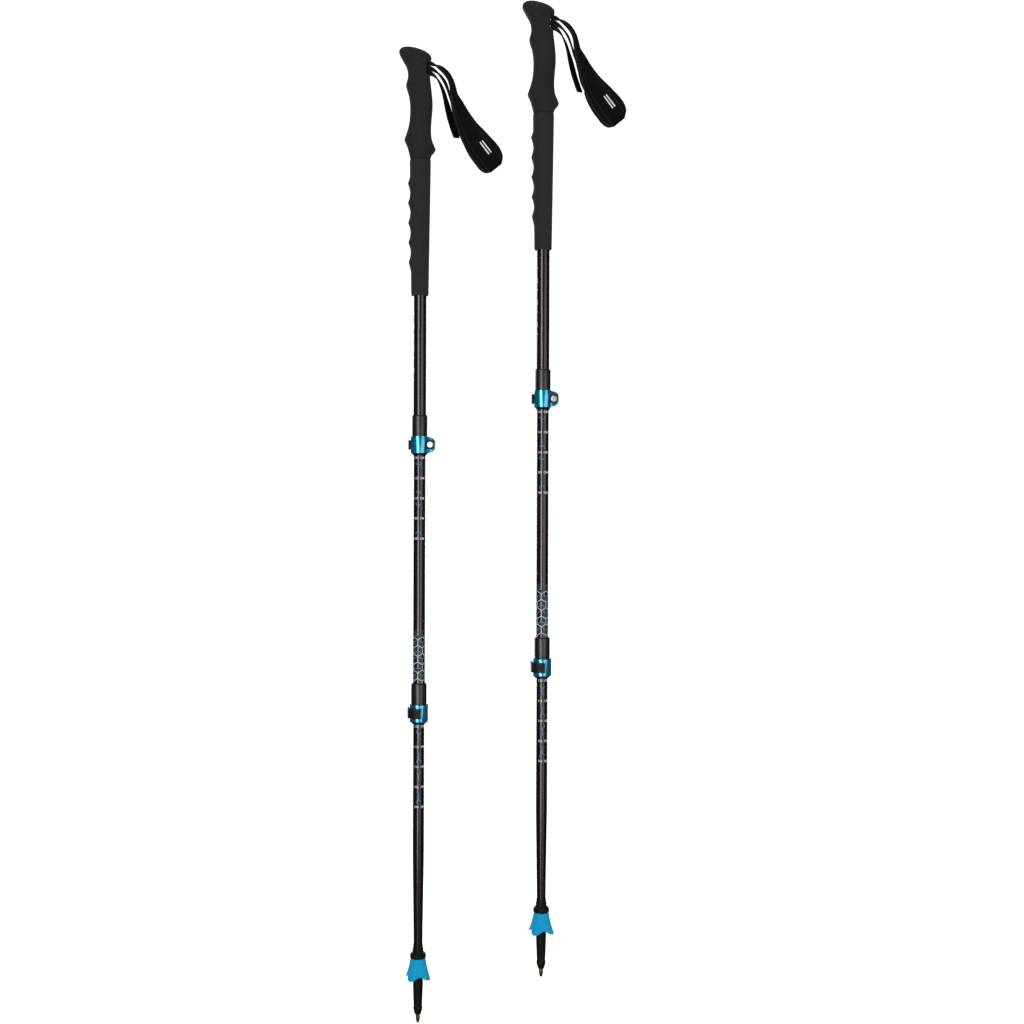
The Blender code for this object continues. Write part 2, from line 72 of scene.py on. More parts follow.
# ------------------------------------------------------------------ materials
class Nodes:
    """A Principled material with a few helpers for building its node tree. Lengths in it are in millimetres."""

    def __init__(self, name, base, roughness, metallic=0.0, **sockets):
        self.mat = bpy.data.materials.new(name)
        self.mat.use_nodes = True
        self.tree = self.mat.node_tree
        self.shader = self.tree.nodes["Principled BSDF"]
        self.set(self.shader, "Base Color", (*base, 1.0))
        self.set(self.shader, "Roughness", roughness)
        self.set(self.shader, "Metallic", metallic)
        for key, value in sockets.items():
            self.set(self.shader, key.replace("_", " "), value)
        self.base = base
        self._object = self._uv = None

    def set(self, node, socket, value):
        node.inputs[socket].default_value = value

    def link(self, a, b):
        self.tree.links.new(a, b)

    def new(self, kind, **props):
        node = self.tree.nodes.new(kind)
        for key, value in props.items():
            setattr(node, key, value)
        return node

    def where(self, stretch=(1, 1, 1)):
        """Place on the object in millimetres, stretched."""
        coord = self._object or self.new("ShaderNodeTexCoord")
        self._object = coord
        m = self.new("ShaderNodeMapping")
        self.link(coord.outputs["Object"], m.inputs["Vector"])
        m.inputs["Scale"].default_value = tuple(1000 * s for s in stretch)
        return m.outputs["Vector"]

    def uv(self, stretch=(1, 1, 1), shift=(0, 0, 0)):
        coord = self._uv or self.new("ShaderNodeUVMap", uv_map="UVMap")
        self._uv = coord
        m = self.new("ShaderNodeMapping")
        self.link(coord.outputs["UV"], m.inputs["Vector"])
        m.inputs["Scale"].default_value = tuple(1000 * s for s in stretch)
        m.inputs["Location"].default_value = shift
        return m.outputs["Vector"]

    def noise(self, cell, detail=3.0, stretch=(1, 1, 1), rough=0.55):
        n = self.new("ShaderNodeTexNoise")
        self.link(self.where(stretch), n.inputs["Vector"])
        n.inputs["Scale"].default_value = 1.0 / cell
        n.inputs["Detail"].default_value = detail
        n.inputs["Roughness"].default_value = rough
        return n.outputs["Fac"]

    def cells(self, cell, stretch=(1, 1, 1)):
        n = self.new("ShaderNodeTexVoronoi")
        self.link(self.where(stretch), n.inputs["Vector"])
        n.inputs["Scale"].default_value = 1.0 / cell
        return n.outputs["Distance"]

    def math(self, op, a, b=None, c=None):
        n = self.new("ShaderNodeMath", operation=op)
        for i, v in enumerate((a, b, c)):
            if v is None:
                continue
            if isinstance(v, (int, float)):
                n.inputs[i].default_value = v
            else:
                self.link(v, n.inputs[i])
        return n.outputs[0]

    def ramp(self, fac, low, high, a=0.0, b=1.0):
        n = self.new("ShaderNodeMapRange")
        self.link(fac, n.inputs["Value"])
        n.inputs["From Min"].default_value = a
        n.inputs["From Max"].default_value = b
        n.inputs["To Min"].default_value = low
        n.inputs["To Max"].default_value = high
        return n.outputs["Result"]

    def mix(self, fac, a, b):
        n = self.new("ShaderNodeMix", data_type="RGBA")
        if isinstance(fac, (int, float)):
            n.inputs[0].default_value = fac
        else:
            self.link(fac, n.inputs[0])
        for i, v in ((6, a), (7, b)):
            if isinstance(v, tuple):
                n.inputs[i].default_value = (*v, 1.0)
            else:
                self.link(v, n.inputs[i])
        return n.outputs[2]

    def shade(self, k):
        return tuple(min(1.0, c * k) for c in self.base)

    def colour(self, out):
        self.link(out, self.shader.inputs["Base Color"])

    def rough(self, out):
        self.link(out, self.shader.inputs["Roughness"])

    def bump(self, *layers):
        """Layers of (height output, depth in mm)."""
        last = None
        for out, depth in layers:
            n = self.new("ShaderNodeBump")
            n.inputs["Distance"].default_value = depth * MM
            n.inputs["Strength"].default_value = 1.0
            self.link(out, n.inputs["Height"])
            if last is not None:
                self.link(last, n.inputs["Normal"])
            last = n.outputs["Normal"]
        self.link(last, self.shader.inputs["Normal"])


def foam(name, base):
    """Closed-cell EVA: matt, with a fine pebble and slightly paler rubbed patches."""
    m = Nodes(name, base, 0.86, **{"Sheen Weight": 0.03, "Sheen Roughness": 0.45, "Specular IOR Level": 0.26})
    m.colour(m.mix(m.ramp(m.noise(0.55, 5.0, rough=0.7), 0.0, 1.0, 0.36, 0.64),
                   m.mix(m.noise(14, 2.0), m.shade(0.70), m.shade(0.92)),
                   m.mix(m.noise(9, 2.0), m.shade(1.15), m.shade(1.55))))
    m.rough(m.ramp(m.noise(1.4, 3.0), 0.76, 0.95, 0.3, 0.7))
    m.bump((m.cells(0.75), 0.10), (m.noise(0.32, 4.0, rough=0.7), 0.07), (m.noise(5.5, 2.0), 0.12))
    return m.mat


def plastic(name, base, roughness=0.45, grain=0.02, gloss=0.5):
    m = Nodes(name, base, roughness, **{"Specular IOR Level": gloss})
    m.colour(m.mix(m.noise(6, 4.0), m.shade(0.82), m.shade(1.22)))
    m.rough(m.ramp(m.noise(0.8, 4.0), roughness - 0.07, roughness + 0.10, 0.3, 0.7))
    m.bump((m.cells(0.34), grain), (m.noise(0.16, 3.0, rough=0.7), grain * 0.8))
    return m.mat


def shaft_metal(name, base):
    """Black anodised tube: drawn lines along it, a satin face."""
    m = Nodes(name, base, 0.21, 0.97, **{"Specular IOR Level": 0.5, "Coat Weight": 0.20, "Coat Roughness": 0.14})
    lines = m.noise(0.30, 3.0, stretch=(1, 1, 0.012), rough=0.6)
    m.colour(m.mix(lines, m.shade(0.85), m.shade(1.18)))
    m.rough(m.ramp(m.noise(0.7, 4.0, stretch=(1, 1, 0.05)), 0.17, 0.26, 0.3, 0.7))
    m.bump((lines, 0.003), (m.noise(0.09, 2.0), 0.001))
    return m.mat


def anodised(name, base):
    """Clear blue anodising over fine-turned aluminium, paler and darker in soft random patches."""
    m = Nodes(name, base, 0.26, 0.92, **{"Specular IOR Level": 0.6, "Coat Weight": 1.0, "Coat Roughness": 0.10, "Coat IOR": 1.75})
    fine = m.noise(0.14, 3.0, stretch=(0.25, 0.25, 1.6))
    m.colour(m.mix(m.noise(3.5, 4.0), m.shade(0.86), m.shade(1.12)))
    m.rough(m.ramp(m.noise(0.6, 4.0), 0.19, 0.33, 0.3, 0.7))
    m.bump((fine, 0.006), (m.noise(1.9, 2.0), 0.010))
    return m.mat


def metal(name, base, roughness, scratches=0.004):
    m = Nodes(name, base, roughness, 1.0)
    m.colour(m.mix(m.noise(1.1, 4.0), m.shade(0.84), m.shade(1.08)))
    m.rough(m.ramp(m.noise(0.5, 4.0), roughness - 0.05, roughness + 0.12, 0.3, 0.7))
    m.bump((m.noise(0.10, 3.0, stretch=(1, 1, 0.3)), scratches), (m.noise(0.9, 3.0), scratches * 1.5))
    return m.mat


def moulded(name, base):
    """The basket's satin plastic."""
    m = Nodes(name, base, 0.50, **{"Specular IOR Level": 0.08})
    m.colour(m.mix(m.noise(7, 3.0), m.shade(0.88), m.shade(1.10)))
    m.rough(m.ramp(m.noise(0.7, 4.0), 0.36, 0.50, 0.3, 0.7))
    m.bump((m.cells(0.42), 0.014), (m.noise(0.2, 3.0), 0.012), (m.noise(6.0, 2.0), 0.05))
    return m.mat


def weave(name, base, pitch=1.05, pair=0.85, depth=0.16, stitches=(), pale=(0.020, 0.019, 0.019), bars=()):
    """Woven tape. UV runs along the tape (u) and across it (v) in metres; stitches are (v in mm) rows of thread."""
    m = Nodes(name, base, 0.84, **{"Sheen Weight": 0.005, "Sheen Roughness": 0.40, "Specular IOR Level": 0.08})
    split = m.new("ShaderNodeSeparateXYZ")
    m.link(m.uv(), split.inputs[0])
    u, v = split.outputs[0], split.outputs[1]

    def hump(x, period, phase=0.0):
        return m.math("ABSOLUTE", m.math("SINE", m.math("MULTIPLY_ADD", x, math.pi / period, phase)))

    along = m.math("GREATER_THAN", m.math("SINE", m.math("MULTIPLY", v, math.pi / pair)), 0.0)
    ribs = m.math("MAXIMUM",
                  m.math("MULTIPLY", hump(u, pitch), along),
                  m.math("MULTIPLY", hump(u, pitch, math.pi / 2), m.math("SUBTRACT", 1.0, along)))
    height = m.math("MULTIPLY", ribs, m.math("MULTIPLY_ADD", hump(v, pair), 0.6, 0.4))
    height = m.math("MULTIPLY_ADD", m.noise(0.18, 3.0), 0.35, height)
    # the weave's ribs are painted lighter and its valleys darker: painted highlight on the ribs, painted shade in the
    # valleys
    shade = m.mix(m.ramp(height, 0.0, 1.0, 0.1, 1.1), m.shade(0.55), m.shade(1.35))
    shade = m.mix(m.math("MULTIPLY", m.noise(8, 2.0), 0.4), shade, m.shade(1.7))
    for row in stitches:
        near = m.math("LESS_THAN", m.math("ABSOLUTE", m.math("SUBTRACT", m.math("ABSOLUTE", v), row)), 0.34)
        dash = m.math("GREATER_THAN", m.math("SINE", m.math("MULTIPLY", u, 2 * math.pi / 2.9)), -0.45)
        mask = m.math("MULTIPLY", near, dash)
        shade = m.mix(mask, shade, pale)
        height = m.math("ADD", height, m.math("MULTIPLY", mask, 1.1))
    for (u_at, u_half), (v_at, v_half) in bars:
        inside = m.math("MULTIPLY", m.math("COMPARE", u, u_at, u_half), m.math("COMPARE", v, v_at, v_half))
        shade = m.mix(inside, shade, m.mix(m.noise(0.5, 4.0), (0.34, 0.34, 0.34), (0.50, 0.50, 0.50)))
    m.colour(shade)
    m.rough(m.ramp(m.noise(1.5, 3.0), 0.70, 0.92, 0.3, 0.7))
    m.bump((height, depth))
    return m.mat


def ink(name, base, roughness=0.5):
    """Printed ink, a little uneven and rubbed."""
    m = Nodes(name, base, roughness, **{"Specular IOR Level": 0.35})
    m.colour(m.mix(m.ramp(m.noise(0.35, 4.0, rough=0.7), 0.0, 1.0, 0.40, 0.66), m.shade(1.05), m.shade(0.55)))
    m.bump((m.noise(0.15, 3.0), 0.004))
    return m.mat


def backdrop_material(name):
    m = Nodes(name, (0.30, 0.30, 0.30), 0.9, **{"Emission Strength": 0.90})
    m.set(m.shader, "Emission Color", (1.0, 1.0, 1.0, 1.0))
    m.colour(m.mix(m.noise(900, 2.0), (0.29, 0.29, 0.29), (0.31, 0.31, 0.31)))
    return m.mat


MAT = {
    "grip_foam": foam("grip_foam_look", (0.0082, 0.0064, 0.0067)),
    "sleeve_foam": foam("sleeve_foam_look", (0.0104, 0.0085, 0.0089)),
    "strap_webbing": weave("webbing_look", (0.0026, 0.0023, 0.0027), stitches=()),
    "strap_pad": weave("pad_look", (0.0019, 0.0017, 0.0020), 0.62, 0.50, 0.08, stitches=(10.6,)),
    # the bound rim is real; its tone, paler than the pad's, is a painted highlight along the strap's edges
    "strap_edge": weave("binding_painted_highlight_look", (0.0075, 0.0068, 0.0074), 0.50, 0.45, 0.10),
    "strap_plastic": plastic("strap_wedge_look", (0.006, 0.0054, 0.0057), 0.5),
    "shaft": shaft_metal("shaft_look", (0.064, 0.053, 0.056)),
    "black_plastic": plastic("black_plastic_look", (0.0034, 0.0030, 0.0031), 0.33, 0.012, 0.85),
    "tip_plastic": plastic("tip_plastic_look", (0.0022, 0.0019, 0.0020), 0.50, 0.02, 0.20),
    "lever_black": plastic("lever_look", (0.0058, 0.0038, 0.0034), 0.44, 0.03, 0.35),
    "clamp_blue": anodised("clamp_blue_look", (0.020, 0.430, 0.700)),
    "basket_plastic": moulded("basket_look", (0.0003, 0.190, 0.356)),
    "steel": metal("steel_look", (0.80, 0.80, 0.79), 0.30),
    "tip_alloy": metal("tip_look", (0.40, 0.235, 0.140), 0.34, 0.010),
    "pale_ink": ink("pale_ink_look", (0.50, 0.485, 0.485)),
    "blue_ink": ink("blue_ink_look", (0.030, 0.250, 0.400)),
    "grey_ink": ink("grey_ink_look", (0.085, 0.085, 0.088)),
    "dark_ink": ink("teal_ink_look", (0.004, 0.034, 0.048)),
}
SLOT_OF = {e["node"]: e["material_slot"] for e in frame["record"]["subparts"]}


# ------------------------------------------------------------------ meshes
def to_mesh(bm, name, sharp=35, smooth=True):
    bmesh.ops.recalc_face_normals(bm, faces=bm.faces)
    mesh = bpy.data.meshes.new(name)
    bm.to_mesh(mesh)
    bm.free()
    if smooth:
        mesh.shade_smooth()
        mesh.set_sharp_from_angle(angle=math.radians(sharp))
    return mesh


def turned(name, profile, sides=64, closed=True, sharp=30):
    """A turned solid from (r, z) points, rings of quads; ends on the axis close to a point. UV in metres."""
    bm = bmesh.new()
    uv = bm.loops.layers.uv.new("UVMap")
    rows = []
    for r, z in profile:
        if r < 1e-6:
            rows.append([bm.verts.new((0, 0, z * MM))])
        else:
            rows.append([bm.verts.new((r * MM * math.cos(2 * math.pi * i / sides), r * MM * math.sin(2 * math.pi * i / sides), z * MM))
                         for i in range(sides)])
    pairs = list(zip(range(len(rows)), range(1, len(rows))))
    if closed:
        pairs.append((len(rows) - 1, 0))
    run = [0.0]
    for (r0, z0), (r1, z1) in zip(profile, profile[1:]):
        run.append(run[-1] + math.hypot(r1 - r0, z1 - z0) * MM)
    for a, b in pairs:
        A, B = rows[a], rows[b]
        ref = max(profile[a][0], profile[b][0]) * MM * 2 * math.pi
        for i in range(sides):
            j = (i + 1) % sides
            if len(A) == 1 and len(B) == 1:
                continue
            loop = [A[i], A[j], B[j], B[i]] if len(A) > 1 and len(B) > 1 else (
                [A[0], B[j], B[i]] if len(A) == 1 else [A[i], A[j], B[0]])
            face = bm.faces.new(loop)
            for l in face.loops:
                k = a if l.vert in A else b
                col = i if (l.vert is (A if len(A) > 1 else B)[i] or l.vert is (B if len(B) > 1 else A)[i % len(B if len(B) > 1 else A)]) else i + 1
                l[uv].uv = (ref * col / sides, run[k])
    return to_mesh(bm, name, sharp)


def loft(name, rings, tip_low=None, tip_high=None, loop=False, sharp=35):
    bm = bmesh.new()
    rows = [[bm.verts.new(Vector(p) * MM) for p in ring] for ring in rings]
    n = len(rows[0])
    spans = list(zip(rows, rows[1:])) + ([(rows[-1], rows[0])] if loop else [])
    for a, b in spans:
        for i in range(n):
            bm.faces.new((a[i], a[(i + 1) % n], b[(i + 1) % n], b[i]))
    if not loop:
        for row, tip in ((rows[0], tip_low), (rows[-1], tip_high)):
            if tip is None:
                bm.faces.new(row)
                continue
            top = bm.verts.new(Vector(tip) * MM)
            for i in range(n):
                bm.faces.new((row[i], row[(i + 1) % n], top))
    return to_mesh(bm, name, sharp)


def prism(name, outline, z_low, z_high):
    return loft(name, [[(x, y, z_low) for x, y in outline], [(x, y, z_high) for x, y in outline]])


def block(name, low, high):
    (x0, y0, z0), (x1, y1, z1) = low, high
    return prism(name, [(x0, y0), (x1, y0), (x1, y1), (x0, y1)], z0, z1)


def rod(name, radius, start, end, sides=32):
    a, b = Vector(start), Vector(end)
    turn = (b - a).to_track_quat("Z", "Y").to_matrix()
    ring = [Vector((radius * math.cos(2 * math.pi * i / sides), radius * math.sin(2 * math.pi * i / sides), 0)) for i in range(sides)]
    return loft(name, [[a + turn @ p for p in ring], [b + turn @ p for p in ring]])


def arc(radius, start_deg, end_deg, steps, centre=(0.0, 0.0)):
    return [(centre[0] + radius * math.cos(math.radians(start_deg + (end_deg - start_deg) * i / steps)),
             centre[1] + radius * math.sin(math.radians(start_deg + (end_deg - start_deg) * i / steps)))
            for i in range(steps + 1)]


def carved(mesh, cutters=(), joined=(), bevel=0.0, segments=2, sharp=32, angle=40):
    """Joins and cuts other meshes with exact booleans, then rounds the sharp edges."""
    work = bpy.data.objects.new("work", mesh)
    SCENE.collection.objects.link(work)
    others = []
    for operation, meshes in (("UNION", joined), ("DIFFERENCE", cutters)):
        for other_mesh in meshes:
            other = bpy.data.objects.new("cutter", other_mesh)
            SCENE.collection.objects.link(other)
            others.append(other)
            boolean = work.modifiers.new(operation.title(), "BOOLEAN")
            boolean.operation = operation
            boolean.solver = "EXACT"
            boolean.object = other
    if bevel:
        edge = work.modifiers.new("Bevel", "BEVEL")
        edge.width = bevel * MM
        edge.segments = segments
        edge.limit_method = "ANGLE"
        edge.angle_limit = math.radians(angle)
        edge.use_clamp_overlap = True
    bpy.context.view_layer.update()
    graph = bpy.context.evaluated_depsgraph_get()
    result = bpy.data.meshes.new_from_object(work.evaluated_get(graph))
    for obj in [work, *others]:
        bpy.data.objects.remove(obj, do_unlink=True)
    result.shade_smooth()
    result.set_sharp_from_angle(angle=math.radians(sharp))
    return result


def curve_through(points, steps):
    """Catmull-Rom through points of any dimension."""
    pts = [list(p) for p in points]
    first = [2 * a - b for a, b in zip(pts[0], pts[1])]
    last = [2 * a - b for a, b in zip(pts[-1], pts[-2])]
    pts = [first, *pts, last]
    out = []
    for i in range(1, len(pts) - 2):
        a, b, c, d = pts[i - 1: i + 3]
        for k in range(steps):
            t = k / steps
            out.append([0.5 * ((2 * q) + (r - p) * t + (2 * p - 5 * q + 4 * r - s) * t * t + (3 * q - p - 3 * r + s) * t ** 3)
                        for p, q, r, s in zip(a, b, c, d)])
    out.append(pts[-2])
    return out


def place(name, mesh, material, side, body, nodes=(), move=None):
    """A copy of a mesh made on one pole's own axis, set on that pole, riding on that body and standing for those nodes."""
    own = mesh.copy()
    if move is not None:
        own.transform(move)
    own.transform(Matrix.Translation(POLES[side]))
    own.name = f"{side}_{name}"
    if material is not None:
        for m in material if isinstance(material, (list, tuple)) else [material]:
            own.materials.append(m)
    obj = bpy.data.objects.new(f"{side}_{name}", own)
    SCENE.collection.objects.link(obj)
    if body:
        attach(obj, f"{side}_{body}")
    if nodes:
        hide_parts(*[f"{side}_{n}" for n in nodes])
    return obj


# ------------------------------------------------------------------ grip
HEAD_STATIONS = [
    (1061.5, 0.00, -12.2, 11.8, 12.3), (1062.4, 0.00, -12.8, 12.4, 12.8),
    (1067.0, 0.00, -13.7, 14.0, 14.2), (1070.4, 0.00, -14.6, 16.8, 15.6), (1073.4, 0.00, -15.4, 18.6, 16.5),
    (1077.3, 0.00, -16.7, 17.4, 16.9), (1081.0, 0.00, -18.3, 15.7, 16.7), (1084.6, 0.00, -19.8, 14.5, 16.1),
    (1088.4, 0.00, -18.7, 13.6, 15.2), (1095.8, 0.00, -16.3, 13.0, 13.9), (1103.2, 0.00, -14.4, 13.1, 13.7),
    (1110.5, 0.00, -13.4, 13.6, 13.9), (1118.0, 0.00, -12.9, 14.3, 14.3), (1125.3, 0.00, -12.9, 14.8, 14.6),
    (1132.7, 0.00, -13.5, 14.7, 14.6), (1140.1, 0.00, -14.8, 14.1, 14.3), (1146.5, 0.00, -16.8, 13.4, 13.9),
    (1152.0, 0.00, -18.0, 12.8, 13.6), (1156.4, 0.00, -17.1, 12.2, 13.4), (1160.6, -0.01, -16.0, 11.8, 13.3),
    (1166.0, -0.04, -15.7, 11.5, 13.3), (1173.0, -0.09, -17.6, 11.6, 13.8), (1179.6, -0.14, -22.0, 12.1, 14.6),
    (1185.3, -0.20, -26.2, 12.6, 15.2), (1188.6, -0.24, -26.3, 13.2, 15.1), (1191.4, -0.265, -23.9, 12.8, 13.8),
    (1193.6, -0.278, -19.4, 10.4, 11.2), (1195.4, -0.282, -13.4, 5.2, 6.8),
]


def grip_ring(z, tilt, front, back, half, sides=56, power=2.25, bump=0.0):
    ring = []
    mid, reach = (front + back) / 2, (back - front) / 2
    for i in range(sides):
        t = 2 * math.pi * i / sides
        c, s = math.cos(t), math.sin(t)
        x = mid + reach * math.copysign(abs(c) ** (2 / power), c)
        y = half * math.copysign(abs(s) ** (2 / power), s)
        x -= bump * max(0.0, -c) ** 1.5
        ring.append((x, y, z + tilt * x))
    return ring


SLOT_PIVOT, PIN_XZ = (13.2, 1173.5), (-3.9, 1177.0)


def head_mesh():
    stations = curve_through(HEAD_STATIONS, 4)
    body = loft("head", [grip_ring(*s) for s in stations], tip_high=(-4.6, 0, 1197.2))
    px, pz = SLOT_PIVOT
    cutters = [
        rod("bore", 8.35, (0, 0, 1050), (0, 0, 1163.2), 48),
        rod("slot_mouth", 9.5, (px, -10.2, pz), (px, 10.2, pz), 40),
        block("slot", (-8.2, -9.6, 1169.0), (9.0, 9.6, 1181.4)),
        rod("pin_bore", 1.5, (PIN_XZ[0], -30, PIN_XZ[1]), (PIN_XZ[0], 30, PIN_XZ[1]), 24),
    ]
    return carved(body, cutters, bevel=0.35, segments=2, sharp=50, angle=55)


RIDGES, RIDGE_TOP_Z, RIDGE_PITCH, RIDGE_HEIGHT = 5, 1031.9, 24.3, 2.9
SLEEVE_LOW, SLEEVE_HIGH = 893.6, 1060.9


def ridge(z):
    u = (RIDGE_TOP_Z - z) / RIDGE_PITCH
    if u < 0:
        return RIDGE_HEIGHT * max(0.0, 1 + u * RIDGE_PITCH / 9.0) ** 1.6
    if u > RIDGES - 1:
        return RIDGE_HEIGHT * max(0.0, 1 - (u - RIDGES + 1) * RIDGE_PITCH / 14.0) ** 1.6
    return RIDGE_HEIGHT * abs(2 * (u % 1.0) - 1) ** 1.8


def sleeve_mesh():
    low, high = SLEEVE_LOW, SLEEVE_HIGH
    levels = [low, low + 0.35, low + 1.0, low + 1.8] + [low + 1.8 + (high - low - 3.6) * i / 130 for i in range(1, 130)]
    levels += [high - 1.8, high - 1.0, high - 0.35, high]
    rings = []
    for z in levels:
        f = (z - low) / (high - low)
        d = min(z - low, high - z)
        inset = 1.3 * (1 - math.sqrt(max(0.0, 1 - (1 - min(1.0, d / 1.8)) ** 2)))
        # the ridges' rounding: three neighbouring heights averaged
        b = (ridge(z - 0.7) + ridge(z) + ridge(z + 0.7)) / 3
        rings.append(grip_ring(z, 0, -(11.0 + 2.2 * f - inset), 10.5 + 2.4 * f - inset, 10.8 + 2.1 * f - inset, power=2.05, bump=b))
    return carved(loft("sleeve", rings), [rod("bore", 8.35, (0, 0, 800), (0, 0, 1200), 48)], sharp=50)


# ------------------------------------------------------------------ wrist strap
PAD_PATH = [
    (41.0, -1.2, 1143.2, 26, 19), (44.6, -2.6, 1132.6, 33, 25), (49.4, -5.0, 1119.2, 41, 29.5),
    (53.4, -6.6, 1109.6, 48, 31), (59.0, -8.4, 1098.2, 58, 32.5), (65.6, -9.2, 1087.2, 71, 34),
    (72.6, -9.2, 1077.4, 82, 34.8), (79.6, -8.6, 1068.6, 90, 35.4), (85.4, -7.4, 1061.2, 90, 34.6),
    (90.0, -4.6, 1055.6, 90, 29.5), (92.6, 0.0, 1052.6, 90, 18), (90.0, 4.6, 1055.6, 90, 29),
    (85.4, 7.4, 1061.2, 90, 33.2), (79.6, 8.6, 1068.6, 90, 33.2), (72.6, 9.2, 1077.4, 90, 32),
    (66.4, 9.4, 1086.0, 88, 29), (61.6, 9.4, 1094.0, 86, 25.5),
]
FRONT_WEB_PATH = [
    (8.6, 0.0, 1180.0, 0, 15), (15.0, 0.0, 1178.9, 6, 15), (22.8, 0.0, 1175.4, 26, 15), (30.6, 0.0, 1168.9, 32, 15),
    (36.4, -0.2, 1160.2, 28, 15), (39.3, -0.6, 1151.6, 25, 16.5), (40.8, -1.1, 1144.4, 26, 18.5),
]
BACK_WEB_PATH = [
    (7.4, 0.0, 1173.6, 0, 15), (14.2, 0.0, 1172.6, 2, 15), (22.4, 0.2, 1167.0, 12, 15), (29.2, 0.6, 1157.8, 14, 15),
    (33.6, 1.4, 1147.0, 8, 15), (38.9, 4.2, 1131.4, 8, 15), (46.2, 8.0, 1117.6, 36, 17), (53.4, 9.4, 1106.4, 70, 20),
    (59.4, 9.4, 1097.8, 86, 22),
]
TAIL_PATH = [
    (8.0, 0.0, 1167.4, 0, 15), (14.0, 0.0, 1166.6, 0, 15), (20.4, 0.0, 1161.0, 8, 15), (25.8, 0.0, 1151.0, 14, 15),
    (29.8, 0.0, 1139.0, 18, 15), (33.8, 0.2, 1123.4, 28, 15), (37.8, 0.4, 1107.8, 30, 15), (44.4, 0.6, 1088.4, 32, 14.6),
]


def frames_along(path, steps):
    """Centre, direction across, normal, width and distance run at each step of a strap's path."""
    rows = curve_through(path, steps)
    centres = [Vector(r[:3]) for r in rows]
    n = len(rows)
    fold = max(range(n), key=lambda i: centres[i].x)
    squares = []
    for i in range(n):
        ahead, behind = centres[min(i + 1, n - 1)], centres[max(i - 1, 0)]
        d = ahead - behind
        s = Vector((-d.z, 0, d.x))
        squares.append((s, d.normalized()))
    # past the fold the in-plane direction keeps the outward run's sense
    out, run = [], 0.0
    near_fold = 6 * steps // 4
    steady = None
    for i in range(n):
        s, along = squares[i]
        if abs(i - fold) <= near_fold and rows[i][3] > 80:
            if steady is None:
                steady = s.normalized()
            s = steady
        elif i > fold:
            s = -s
        if s.length < 1e-6:
            s = steady
        s = s.normalized()
        t = math.radians(rows[i][3])
        across = Vector((0, 1, 0)) * math.cos(t) + s * math.sin(t)
        across = (across - along * across.dot(along)).normalized()
        if out and across.dot(out[-1][1]) < 0:
            across = -across
        normal = along.cross(across).normalized()
        if i:
            run += (centres[i] - centres[i - 1]).length
        out.append((centres[i], across, normal, rows[i][4], run))
    return out


def tape(name, path, thickness, steps=8, wide=12, edge=None, crown=0.0, end_round=0.0, body_mat=0, edge_mat=0, marked=None):
    """A woven tape with rounded edges; edge is (width, extra thickness) of a bound rim; UV in metres along and across."""
    rows = frames_along(path, steps)
    total = rows[-1][4]
    bm = bmesh.new()
    uv = bm.loops.layers.uv.new("UVMap")
    rings, places = [], []
    for c, across, normal, width, run in rows:
        w, t = width / 2, (thickness(run / total) if callable(thickness) else thickness) / 2
        if end_round:
            d = total - run
            if d < end_round:
                w -= end_round * 0.45 * (1 - math.sqrt(max(0.0, 1 - (1 - d / end_round) ** 2)))
        points = []
        rim, more = edge or (1.2, 0.0)
        fracs = [-1 + 2 * i / wide for i in range(wide + 1)]
        side = []
        for f in fracs:
            x = f * (w - t)
            from_edge = (w - abs(x))
            h = t + crown * (1 - f * f)
            if more and from_edge < rim + 0.6:
                h += more * min(1.0, (rim + 0.6 - from_edge) / 0.6)
            side.append((x, h))
        te = side[-1][1]
        caps = [(w - t + t * math.sin(a), te * math.cos(a)) for a in (math.pi / 4, math.pi / 2, 3 * math.pi / 4)]
        top = [(x, h) for x, h in side]
        loop = top + [(x, y) for x, y in caps] + [(x, -h) for x, h in reversed(side)] + [(-x, y) for x, y in reversed(caps)]
        rings.append([bm.verts.new((c + across * x + normal * y) * MM) for x, y in loop])
        places.append([(x, run) for x, y in loop])
    n = len(rings[0])
    limit = (edge or (0, 0))[0]
    for k, (a, b) in enumerate(zip(rings, rings[1:])):
        for i in range(n):
            j = (i + 1) % n
            face = bm.faces.new((a[i], a[j], b[j], b[i]))
            for l, (kk, ii) in zip(face.loops, ((k, i), (k, j), (k + 1, j), (k + 1, i))):
                x, run = places[kk][ii]
                l[uv].uv = (run * MM, x * MM)
            middle = (abs(places[k][i][0]) + abs(places[k][j][0])) / 2
            near = rows[k][3] / 2 - middle < limit
            face.material_index = edge_mat if near and edge else body_mat
            if marked and marked[0] < rows[k][4] < marked[1] and i in (range(wide) if marked[2] else range(wide + 4, 2 * wide + 4)):
                if face.material_index == body_mat:
                    face.material_index = marked[3]
    for ring, place_row, flip in ((rings[0], places[0], True), (rings[-1], places[-1], False)):
        half = n // 2
        # the end is closed by quads between its two faces
        m = wide + 1
        for i in range(wide):
            top_a, top_b = ring[i], ring[i + 1]
            low_a, low_b = ring[2 * m + 2 - i], ring[2 * m + 1 - i]
            face = bm.faces.new((top_a, top_b, low_b, low_a))
            for l in face.loops:
                l[uv].uv = (place_row[0][1] * MM, place_row[i][0] * MM)
        for start, stop in ((wide, wide + 4), (2 * m + 2, 2 * m + 6)):
            corner = [ring[i % n] for i in range(start, stop + 1)]
            face = bm.faces.new(corner)
            for l in face.loops:
                l[uv].uv = (place_row[0][1] * MM, place_row[start % n][0] * MM)
    return to_mesh(bm, name, 50)


# one tape: out of the head, down the padded front, round the fold and back up to the head
LOOP_PATH = FRONT_WEB_PATH[:-1] + PAD_PATH + list(reversed(BACK_WEB_PATH))
LOOP_FRAMES = frames_along(LOOP_PATH, 8)
PAD_FROM = min(LOOP_FRAMES, key=lambda f: (f[0] - Vector(PAD_PATH[0][:3])).length)[4]
PAD_TO = min(LOOP_FRAMES, key=lambda f: (f[0] - Vector(PAD_PATH[-1][:3])).length)[4]


